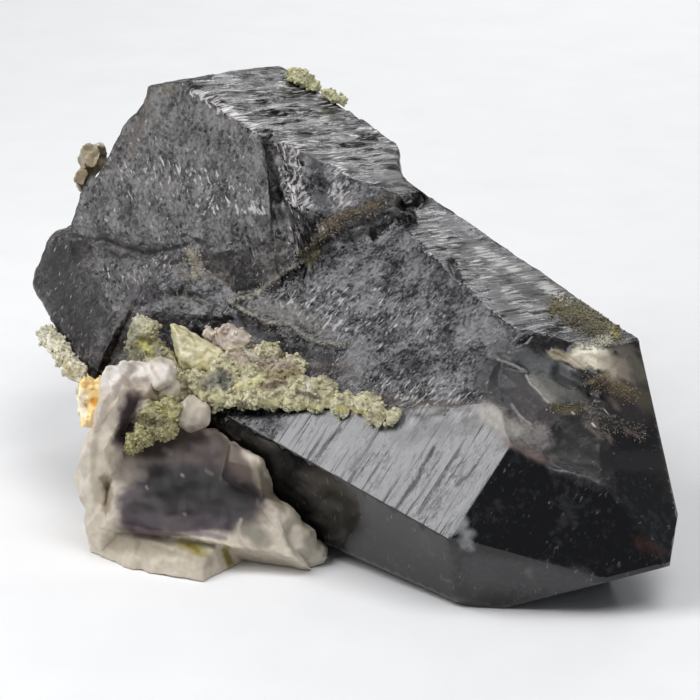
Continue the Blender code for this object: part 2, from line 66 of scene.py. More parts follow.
# %% [markdown]
# ## Where things are
# Every crystal face is measured from one seed point inside the specimen, as a crystallographer
# does. The long axis of the quartz and the normals of its side faces are all that is needed to say
# where a streak, a pit or a stain lies, so they come first. Lengths in this lesson are millimetres.

# %% The crystal's directions
SEED = np.array((1.41, -21.84, 35.5))
AXIS = Vector((0.730, -0.648, -0.216)).normalized()
M1 = Vector((-0.645, -0.678, -0.353)).normalized()
M2 = Vector((-0.387, -0.689, 0.613)).normalized()
M3 = Vector((0.331, -0.076, 0.941)).normalized()
M4, M5, M6 = -M1, -M2, -M3
ACROSS = M3.cross(AXIS).normalized()
UPRIGHT = AXIS.cross(ACROSS)
CRYSTAL_TURN = Matrix((AXIS, ACROSS, UPRIGHT))
WALL = Vector((0.208, -0.795, 0.570)).normalized()
DOWN_WALL = Vector((0.22, -0.53, -0.82)).normalized()
WALL_TURN = Matrix((DOWN_WALL.cross(WALL).normalized(), DOWN_WALL, WALL))
SHOULDER = Vector((-0.339, -0.460, 0.821)).normalized()
CHIP = Vector((0.365, -0.515, 0.775)).normalized()
END_FACE_ANGLE = math.radians(51.8)


def end_face(side):
    """The normal of the pyramid face that stands over a side face."""
    return (AXIS * math.cos(END_FACE_ANGLE) + side * math.sin(END_FACE_ANGLE)).normalized()


R1, R2, R3 = end_face(M1), end_face(M2), end_face(M3)
R4, R5, R6 = end_face(M4), end_face(M5), end_face(M6)
print("angle between neighbouring side faces:", round(math.degrees(M1.angle(M2)), 1))

# %% [markdown]
# ## The camera
# The specimen was photographed from about 0.6 m with a long lens, a little from above. The same
# distance and field of view are set here, so that the faces foreshorten as in the photograph.

# %% Camera
EYE_HEIGHT_ANGLE = math.radians(20)
EYE_DISTANCE = 600.0
FIELD_WIDTH = 119.66
SENSOR = 36.0
VIEW = 700
target = Vector(SEED)
toward_eye = Vector((0, -math.cos(EYE_HEIGHT_ANGLE), math.sin(EYE_HEIGHT_ANGLE)))
view_up = Vector((0, math.sin(EYE_HEIGHT_ANGLE), math.cos(EYE_HEIGHT_ANGLE)))
camera_data = bpy.data.cameras.new("camera")
camera_data.sensor_width = SENSOR
camera_data.lens = SENSOR * EYE_DISTANCE / FIELD_WIDTH
camera = bpy.data.objects.new("camera", camera_data)
camera.location = (target + toward_eye * EYE_DISTANCE) * MM
camera.rotation_euler = (-toward_eye).to_track_quat("-Z", "Y").to_euler()
bpy.context.scene.collection.objects.link(camera)
bpy.context.scene.camera = camera
bpy.context.scene.view_settings.view_transform = "Standard"
print("lens in mm:", round(camera_data.lens, 1))


def in_view(points):
    """Where points (in mm from the seed) stand across and down a 700 by 700 picture."""
    scale = EYE_DISTANCE / (EYE_DISTANCE - points @ np.array(toward_eye)) * VIEW / FIELD_WIDTH
    return VIEW / 2 + points[:, 0] * scale, VIEW / 2 - (points @ np.array(view_up)) * scale


# %% [markdown]
# ## One helper for nodes and one for colours
# A material is a small network of nodes. This helper adds one node, fills in its settings by name
# and links its inputs, so each material below reads as a short list of what it is made of.

# %% Node and colour helpers


def linear(hex_colour):
    """An sRGB hex colour as the linear values that a shader works in."""
    values = []
    for start in (1, 3, 5):
        c = int(hex_colour[start : start + 2], 16) / 255
        values.append(c / 12.92 if c <= 0.04045 else ((c + 0.055) / 1.055) ** 2.4)
    return (*values, 1.0)


def add_node(tree, kind, settings=None, links=None):
    """Adds a node; settings go by property or input name, links by input name."""
    made = tree.nodes.new(kind)
    for name, value in (settings or {}).items():
        if isinstance(name, int) or name in made.inputs:
            made.inputs[name].default_value = value
        else:
            setattr(made, name, value)
    for name, source in (links or {}).items():
        tree.links.new(source, made.inputs[name])
    return made


def new_material(name):
    """An empty node material and its tree."""
    material = bpy.data.materials.new(name)
    material.use_nodes = True
    material.node_tree.nodes.clear()
    return material, material.node_tree


print("mid grey in linear light:", round(linear("#808080")[0], 3))

# %% [markdown]
# ## The table and the light
# The specimen stands on a plain pale sheet. Black quartz shows almost nothing of its own colour:
# what the eye reads are the reflections of the lamps in its faces. So each softbox stands where one
# set of faces mirrors it to the camera: one to the upper left for the etched face, a wide low one
# behind for the stepped upper faces, and nothing in front, which leaves the end face black. One at
# the left brightens the milky edges, and a large one overhead lights the sheet.

# %% Floor, world and softboxes
bm = bmesh.new()
bmesh.ops.create_grid(bm, x_segments=2, y_segments=2, size=3.0)
floor_mesh = bpy.data.meshes.new("table_sheet")
bm.to_mesh(floor_mesh)
bm.free()
table_sheet = bpy.data.objects.new("table_sheet", floor_mesh)
bpy.context.scene.collection.objects.link(table_sheet)
paper, tree = new_material("white_paper_sheet")
fibres = add_node(tree, "ShaderNodeTexNoise", {"Scale": 400.0, "Detail": 2.0})
tone = add_node(
    tree,
    "ShaderNodeMix",
    {"data_type": "RGBA", 6: linear("#ececee"), 7: linear("#f4f4f4")},
    {0: fibres.outputs["Fac"]},
)
sheet = add_node(
    tree, "ShaderNodeBsdfPrincipled", {"Roughness": 0.8}, {"Base Color": tone.outputs[2]}
)
add_node(tree, "ShaderNodeOutputMaterial", None, {"Surface": sheet.outputs[0]})
floor_mesh.materials.append(paper)

world = bpy.data.worlds.new("studio")
world.use_nodes = True
world.node_tree.nodes["Background"].inputs["Color"].default_value = linear("#e8ecf2")
world.node_tree.nodes["Background"].inputs["Strength"].default_value = 0.2
bpy.context.scene.world = world


def softbox(name, direction, distance, width, height, radiance):
    """A rectangular lamp that faces the specimen from a direction; sizes in millimetres."""
    lamp = bpy.data.lights.new(name, "AREA")
    lamp.shape = "RECTANGLE"
    lamp.size = width * MM
    lamp.size_y = height * MM
    lamp.energy = radiance * math.pi * width * height * MM * MM
    box = bpy.data.objects.new(name, lamp)
    way = Vector(direction).normalized()
    box.location = (target + way * distance) * MM
    box.rotation_euler = (-way).to_track_quat("-Z", "Y").to_euler()
    box.visible_camera = False
    bpy.context.scene.collection.objects.link(box)


softbox("softbox_upper_left", (-0.66, -0.24, 0.71), 500, 340, 340, 5.2)
softbox("softbox_behind", (0.22, 0.88, 0.42), 600, 460, 190, 3.7)
softbox("softbox_left", (-0.97, 0.20, 0.30), 700, 240, 400, 1.6)
softbox("softbox_overhead", (0.25, -0.35, 0.9), 900, 500, 500, 5.0)

# %% [markdown]
# ## Refining a CAD node
# The CAD solids have only as many facets as a simulator needs. A copy of a node's mesh is merged
# and its long edges are cut in half again and again until the triangles are finer than the pits and
# steps that are pressed into them. The side turned to the eye gets the finest ones. The node's own
# mesh stays as it is.

# %% Mesh helpers
MERGE_DISTANCE = 0.001
MOST_HALVINGS = 12
SAME_PLANE = 0.9985


def refined(node, front, back, flat=0.0, windows=()):
    """A bmesh copy of a CAD node whose edges are at most this long, in mm, in front and behind.

    Edges between smooth crystal faces may be as long as flat. Edges with an end inside a window
    of the picture (left, top, right, bottom, length) are cut to that window's own length.
    """
    bm = bmesh.new()
    bm.from_mesh(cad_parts[node].data)
    bmesh.ops.remove_doubles(bm, verts=bm.verts, dist=MERGE_DISTANCE * MM)
    bmesh.ops.dissolve_degenerate(bm, edges=bm.edges, dist=MERGE_DISTANCE * MM)
    planes = np.array((M1, M4, M5, M6, R1, R2, R3, R4, R5, R6))
    for turn in range(MOST_HALVINGS):
        bm.normal_update()
        for group in (bm.verts, bm.faces):
            group.index_update()
        across, down = in_view(places(bm.verts))
        front_length = np.full(len(bm.verts), front)
        for left, top, right, bottom, length in windows:
            inside = (across > left) & (across < right) & (down > top) & (down < bottom)
            front_length[inside] = length
        normals = np.array([f.normal for f in bm.faces])
        seen = normals @ np.array(toward_eye) > 0
        smooth = (normals @ planes.T).max(axis=1) > SAME_PLANE
        long_edges = []
        for edge in bm.edges:
            one, other = (v.index for v in edge.verts)
            sides = [f.index for f in edge.link_faces]
            limit = max(front_length[one], front_length[other]) if seen[sides].any() else back
            if smooth[sides].all():
                limit = max(limit, flat)
            if edge.calc_length() > limit * MM:
                long_edges.append(edge)
        if not long_edges:
            break
        bmesh.ops.subdivide_edges(bm, edges=long_edges, cuts=1, use_single_edge=True)
        bmesh.ops.triangulate(bm, faces=[f for f in bm.faces if len(f.verts) > 3])
    bm.normal_update()
    return bm


def places(items):
    """Positions of vertices in millimetres from the seed point."""
    return np.array([v.co for v in items]) / MM - SEED


def boxed(place):
    """The same place, moved inside the CAD box if it lies outside."""
    return Vector(min(max(place[i], cad_low[i]), cad_high[i]) for i in range(3))


def push(bm, amounts):
    """Moves each vertex along its normal by its own amount in millimetres, inside the CAD box."""
    for vert, amount in zip(bm.verts, amounts):
        vert.co = boxed(vert.co + vert.normal * float(amount) * MM)
    bm.normal_update()


def rounded(bm, turns, verts=None):
    """Softens a mesh by moving each vertex towards its neighbours, some turns over."""
    for turn in range(turns):
        bmesh.ops.smooth_vert(
            bm, verts=verts or bm.verts, factor=0.5, use_axis_x=1, use_axis_y=1, use_axis_z=1
        )
    bm.normal_update()


def lumpy(points, size, seed=0.0, octaves=2):
    """Smooth noise from about -1 to 1 whose lumps are about the given size in millimetres."""
    values = np.zeros(len(points))
    offset = Vector((seed, seed * 1.7, -seed))
    for i, p in enumerate(points):
        values[i] = noise.fractal(Vector(p) / size + offset, 1.0, 2.0, octaves)
    return values


def add_grains(bm, spots, sizes, seed, sink=0.3):
    """Puts little squashed grains on spots (a place and a normal, in metres), partly sunk in."""
    chance = random.Random(seed)
    pattern = bmesh.new()
    bmesh.ops.create_icosphere(pattern, subdivisions=1, radius=1.0)
    corners = [v.co.copy() for v in pattern.verts]
    sides = [[v.index for v in f.verts] for f in pattern.faces]
    pattern.free()
    for place, normal in spots:
        size = chance.uniform(*sizes) * MM
        angle = chance.uniform(0, math.tau)
        turn = Matrix.Rotation(angle, 3, Vector([chance.gauss(0, 1) for _ in range(3)]))
        wide, deep = chance.uniform(0.7, 1.3), chance.uniform(0.7, 1.3)
        form = turn @ Matrix.Diagonal((wide, deep, chance.uniform(0.6, 1.1))) * size
        middle = place + normal * size * (1 - 2 * sink)
        made = [bm.verts.new(middle + form @ corner) for corner in corners]
        for side in sides:
            bm.faces.new([made[i] for i in side])
    bm.normal_update()


def face_areas(bm):
    """The area of each face of a mesh."""
    return np.array([f.calc_area() for f in bm.faces])


def spots_on(bm, count, seed, weights):
    """Random spots on a mesh; each face is chosen by its weight."""
    chance = random.Random(seed)
    bm.faces.ensure_lookup_table()
    spots = []
    for number in chance.choices(range(len(bm.faces)), weights.tolist(), k=count):
        a, b, c = (v.co for v in bm.faces[number].verts[:3])
        u, v = chance.random(), chance.random()
        if u + v > 1:
            u, v = 1 - u, 1 - v
        spots.append((a + (b - a) * u + (c - a) * v, bm.faces[number].normal.copy()))
    return spots


print("helpers ready")

# %% [markdown]
# ## Strokes
# Rust, milky clouds, pale rims and cracks are laid on like strokes of a brush, and so are painted
# shade, painted shadows, a painted highlight and painted glints. A stroke is a line across the
# picture with a half width, and it takes hold only where the surface turns towards the eye, so it
# stays on the face it belongs to. A stroke of one point is a blot. Its edge is broken up by noise.
# The strokes end up as a colour and a strength on every vertex of the mesh.

# %% Stroke helpers
FULLY_TURNED = 0.12
NARROW_STROKE = 8
EYE_GAMMA = 2.2


def stroke_hold(across, down, path, width):
    """How much of a stroke lies on each point: 1 at its middle, 0 beyond its half width."""
    nearest = np.full(len(across), 1e9)
    for (x0, y0), (x1, y1) in zip(path, path[1:] or path):
        run = np.array((x1 - x0, y1 - y0), float)
        length = max(run @ run, 1e-9)
        share = np.clip(((across - x0) * run[0] + (down - y0) * run[1]) / length, 0, 1)
        off_x, off_y = across - x0 - share * run[0], down - y0 - share * run[1]
        nearest = np.minimum(nearest, np.hypot(off_x, off_y))
    hold = np.clip(1.35 * (1 - nearest / width), 0, 1)
    return hold * hold * (3 - 2 * hold)


def wobble(points):
    """Uneven shifts of a few picture units, which make the edge of a stroke ragged."""
    fine = lumpy(points, 0.8, 23, 1) * 1.6
    return lumpy(points, 2.4, 11, 2) * 4.0 + fine, lumpy(points, 2.4, 17, 2) * 4.0 + fine


def facing(bm):
    """Which vertices turn towards the eye, from 0 to 1."""
    turned = np.array([v.normal for v in bm.verts]) @ np.array(toward_eye)
    return np.clip(turned / FULLY_TURNED, 0, 1)


def painted(bm, strokes, ground=None):
    """Colours and strengths for each vertex from strokes: colour, half width, strength, path.

    Colours are mixed as the eye sees them, so that dark and light fade evenly into each other.
    """
    points = places(bm.verts)
    across, down = in_view(points)
    shift_x, shift_y = wobble(points)
    hold = facing(bm)
    colours = np.zeros((len(points), 4))
    colours[:, 3] = 1
    strength = np.zeros(len(points))
    if ground:
        colours[:] = np.array(linear(ground)) ** (1 / EYE_GAMMA)
        strength[:] = 1
    for colour, width, most, path in strokes:
        ease = min(1.0, width / NARROW_STROKE)
        ragged = stroke_hold(across + shift_x * ease, down + shift_y * ease, path, width)
        here = ragged * most * hold
        total = np.maximum(strength + here - strength * here, 1e-9)
        mix = (here / total)[:, None]
        colours = colours * (1 - mix) + np.array(linear(colour)) ** (1 / EYE_GAMMA) * mix
        strength = total
    return colours**EYE_GAMMA, np.where(strength < 1e-6, 0, strength)


def carved(bm, cuts):
    """Heights in millimetres for each vertex from strokes: height, half width, path."""
    points = places(bm.verts)
    across, down = in_view(points)
    hold = facing(bm)
    heights = np.zeros(len(points))
    for height, width, path in cuts:
        heights += stroke_hold(across, down, path, width) * height * hold
    return heights


def finished(bm, name, nodes, materials, sharp_angle, paint, painted_glints=None):
    """Makes the object, hides the CAD nodes that it stands for and fixes it to the specimen."""
    mesh = bpy.data.meshes.new(name)
    bm.to_mesh(mesh)
    bm.free()
    mesh.polygons.foreach_set("use_smooth", [True] * len(mesh.polygons))
    mesh.set_sharp_from_angle(angle=math.radians(sharp_angle))
    for material in materials:
        mesh.materials.append(material)
    # Stroke colours and strengths: real stains together with painted shade, shadows, a highlight
    # and glints.
    colours = mesh.attributes.new("stain_and_painted_light_colour", "FLOAT_COLOR", "POINT")
    colours.data.foreach_set("color", paint[0].ravel())
    mesh.attributes.new("stain_and_painted_light", "FLOAT", "POINT").data.foreach_set("value", paint[1])
    if painted_glints is not None:
        mesh.attributes.new("painted_glints", "FLOAT", "POINT").data.foreach_set("value", painted_glints)
    piece = bpy.data.objects.new(name, mesh)
    bpy.context.scene.collection.objects.link(piece)
    if nodes:
        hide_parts(*nodes)
    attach(piece, "root")
    print(name, "has", len(mesh.polygons), "triangles")


print("strokes ready")

# %% [markdown]
# ## The dark crystals, face by face
# On real quartz each face has its own skin: the pyramid faces are glassy, the side faces carry
# fine lines across the long axis where growth paused, the shoulder is covered with low growth
# hillocks, and broken places are conchoidal or splintery. So the mesh of the large piece is sorted
# into skins by asking which of the crystal's planes each triangle lies nearest to.

# %% Sort the large piece into skins
SKINS = [
    "glassy",
    "etched",
    "stepped",
    "foliated",
    "hillocky",
    "sparkling",
    "ridged",
    "conchoidal",
    "broken",
    "hidden_face",
]
PLANES = [
    ("glassy", M1, 19.9, (-45, 200)),
    ("etched", M2, 4.6, (0, 200)),
    ("stepped", M3, 15.9, (-12, 200)),
    ("hidden_face", M4, 39.4, (-45, 200)),
    ("hidden_face", M5, 40.0, (-45, 200)),
    ("glassy", M6, 33.2, (-45, 200)),
    ("glassy", R1, 38.1, (20, 200)),
    ("glassy", R2, 26.7, (20, 200)),
    ("glassy", R3, 30.9, (20, 200)),
    ("glassy", R4, 49.5, (20, 200)),
    ("glassy", R5, 54.0, (20, 200)),
    ("glassy", R6, 48.9, (20, 200)),
    ("conchoidal", CHIP, 19.2, (26, 200)),
    ("hillocky", SHOULDER, 0.6, (-30, 200)),
    ("sparkling", M2, 3.2, (-200, -16)),
    ("foliated", M3, 20.4, (-200, 0)),
    ("foliated", Vector((-0.128, 0.241, 0.962)), 47.8, (-200, 0)),
    ("hidden_face", M4, 43.5, (-200, 0)),
    ("hidden_face", M5, 36.0, (-200, 0)),
    ("broken", M6, 14.0, (-200, 0)),
    ("broken", -AXIS, 65.5, (-200, 0)),
    ("broken", Vector((-0.85, 0.50, -0.08)), 59.4, (-200, 0)),
    ("broken", Vector((-0.429, -0.902, 0.05)), -7.0, (-200, 0)),
    ("ridged", WALL, -10.2, (-60, 40)),
    ("broken", Vector((0.976, -0.108, 0.19)), -12.3, (-60, 10)),
    ("broken", Vector((-0.72, -0.62, 0.31)), 18.4, (-200, 0)),
    ("hillocky", Vector((-0.148, -0.84, 0.52)), -9.2, (-60, 20)),
    ("broken", Vector((-0.28, -0.90, 0.20)), -7.5, (-60, 20)),
]
LOSS_PER_MM = 0.07
CLEAR_MATCH = 0.95


def sort_skins(bm):
    """Gives each triangle the number of its skin as its material."""
    middles = np.array([f.calc_center_median() for f in bm.faces]) / MM - SEED
    normals = np.array([f.normal for f in bm.faces])
    along = middles @ np.array(AXIS)
    best = np.full(len(middles), -1e9)
    skin = np.full(len(middles), SKINS.index("broken"))
    for name, normal, offset, (start, end) in PLANES:
        normal = np.array(normal)
        score = normals @ normal - LOSS_PER_MM * np.abs(middles @ normal - offset)
        score[(along < start) | (along > end)] = -1e9
        better = score > best
        best[better] = score[better]
        skin[better] = SKINS.index(name)
    skin[(skin == SKINS.index("hidden_face")) & (best < CLEAR_MATCH)] = SKINS.index("broken")
    for face, number in zip(bm.faces, skin):
        face.material_index = int(number)
    return skin


def skin_shares(bm):
    """For each vertex, how much of the skin around it is of each kind."""
    shares = np.zeros((len(bm.verts), len(SKINS)))
    bm.verts.index_update()
    for face in bm.faces:
        for vert in face.verts:
            shares[vert.index, face.material_index] += 1
    return shares / np.maximum(shares.sum(1, keepdims=True), 1)


FINE_WINDOWS = [
    (180, 225, 400, 420, 0.7),
    (255, 130, 385, 265, 0.65),
    (472, 335, 655, 475, 0.4),
]
dark = refined("morion_crystals", 0.85, 2.2, 2.0, FINE_WINDOWS)
skin = sort_skins(dark)
print("triangles per skin:", {name: int((skin == i).sum()) for i, name in enumerate(SKINS)})

# %% [markdown]
# ## Pressing the fine relief in
# The rough skins are first rounded a little, since the CAD facets there are only a stand-in, and
# then each skin gets its own relief. Growth lines run across the long axis, so their height
# depends on the distance along the axis and hardly on the other two. Hillocks and broken skin are
# lumps of a few millimetres. Single blades, rims, cracks and pits are carved with strokes.

# %% Relief of the dark crystals
FOOT_HEIGHT = -20
shares = skin_shares(dark)
share = {name: shares[:, i] for i, name in enumerate(SKINS)}
crisp = share["glassy"] + share["etched"] + share["hidden_face"]
low_down = places(dark.verts)[:, 2] < FOOT_HEIGHT
foot = (facing(dark) == 0) & low_down
rounded(dark, 2, [v for v, c, low in zip(dark.verts, crisp, foot) if c == 0 or (low and c < 1)])
points = places(dark.verts)
in_crystal = points @ np.array(CRYSTAL_TURN).T
warp = lumpy(points, 9, 3)[:, None] * np.array((1.6, 0, 0))
streaks = lumpy((in_crystal + warp) * np.array((1, 1 / 7, 1 / 4)), 1.5, 4, 3)
broad_streaks = lumpy((in_crystal + warp) * np.array((1, 1 / 5, 1 / 4)), 4.5, 6, 2)
grain = lumpy(points, 1.5, 5)
hills = lumpy(points, 4.0, 1)
folds = lumpy((in_crystal + warp) * np.array((1, 1 / 3, 1 / 2)), 5.0, 9, 2)
on_wall = points @ np.array(WALL_TURN).T
ridges = lumpy(on_wall * np.array((1, 1 / 6, 1 / 3)), 1.6, 7, 3)
broad_ridges = lumpy(on_wall * np.array((1, 1 / 4, 1 / 3)), 5.0, 12)
relief = share["stepped"] * (streaks * 0.20 + broad_streaks * 0.30)
relief += share["foliated"] * (streaks * 0.30 + broad_streaks * 0.35 + grain * 0.06)
relief += share["hillocky"] * (hills * 0.34 + grain * 0.18 + folds * 0.55)
relief += share["sparkling"] * (hills * 0.16 + grain * 0.10 + ridges * 0.10)
relief += share["broken"] * (hills * 0.35 + grain * 0.14)
relief += share["ridged"] * (ridges * 0.65 + broad_ridges * 0.70 + grain * 0.12)
relief += share["conchoidal"] * (lumpy(points, 7, 8) * 0.35 + lumpy(points, 2.0, 2) * 0.06)
CUTS = [
    (0.35, 5, [(532, 378), (542, 390), (556, 403)]),
    (0.2, 3, [(500, 360), (524, 371)]),
    (-0.9, 12, [(560, 374), (585, 384), (600, 394)]),
    (0.6, 3, [(553, 350), (568, 358), (590, 375), (612, 388)]),
    (0.5, 9, [(575, 352), (605, 350), (625, 366)]),
    (0.2, 2.5, [(511, 404), (520, 416), (533, 427)]),
    (0.3, 9, [(490, 410), (520, 432), (555, 440)]),
    (0.4, 3, [(583, 402), (600, 398), (618, 404), (628, 428), (640, 438)]),
    (-0.4, 5, [(600, 412), (606, 428)]),
    (0.3, 3, [(594, 430), (608, 442)]),
    (0.5, 4, [(229, 302), (250, 295), (262, 290), (282, 274), (300, 262)]),
    (0.5, 4, [(229, 302), (268, 323), (288, 322), (302, 335), (320, 343), (345, 343)]),
    (-0.9, 7, [(266, 135), (271, 165), (277, 198)]),
    (-0.6, 4, [(97, 239), (145, 256), (185, 246)]),
    (-0.25, 2.5, [(127, 188), (140, 203), (158, 211), (182, 226)]),
    (-2.2, 9, [(405, 204), (422, 199)]),
    (-0.7, 5, [(452, 262), (458, 280), (452, 300)]),
    (-0.5, 4, [(300, 258), (325, 245), (345, 232), (370, 224), (395, 212)]),
]
relief += carved(dark, CUTS)
push(dark, relief)
print("relief from", round(relief.min(), 2), "to", round(relief.max(), 2), "mm")
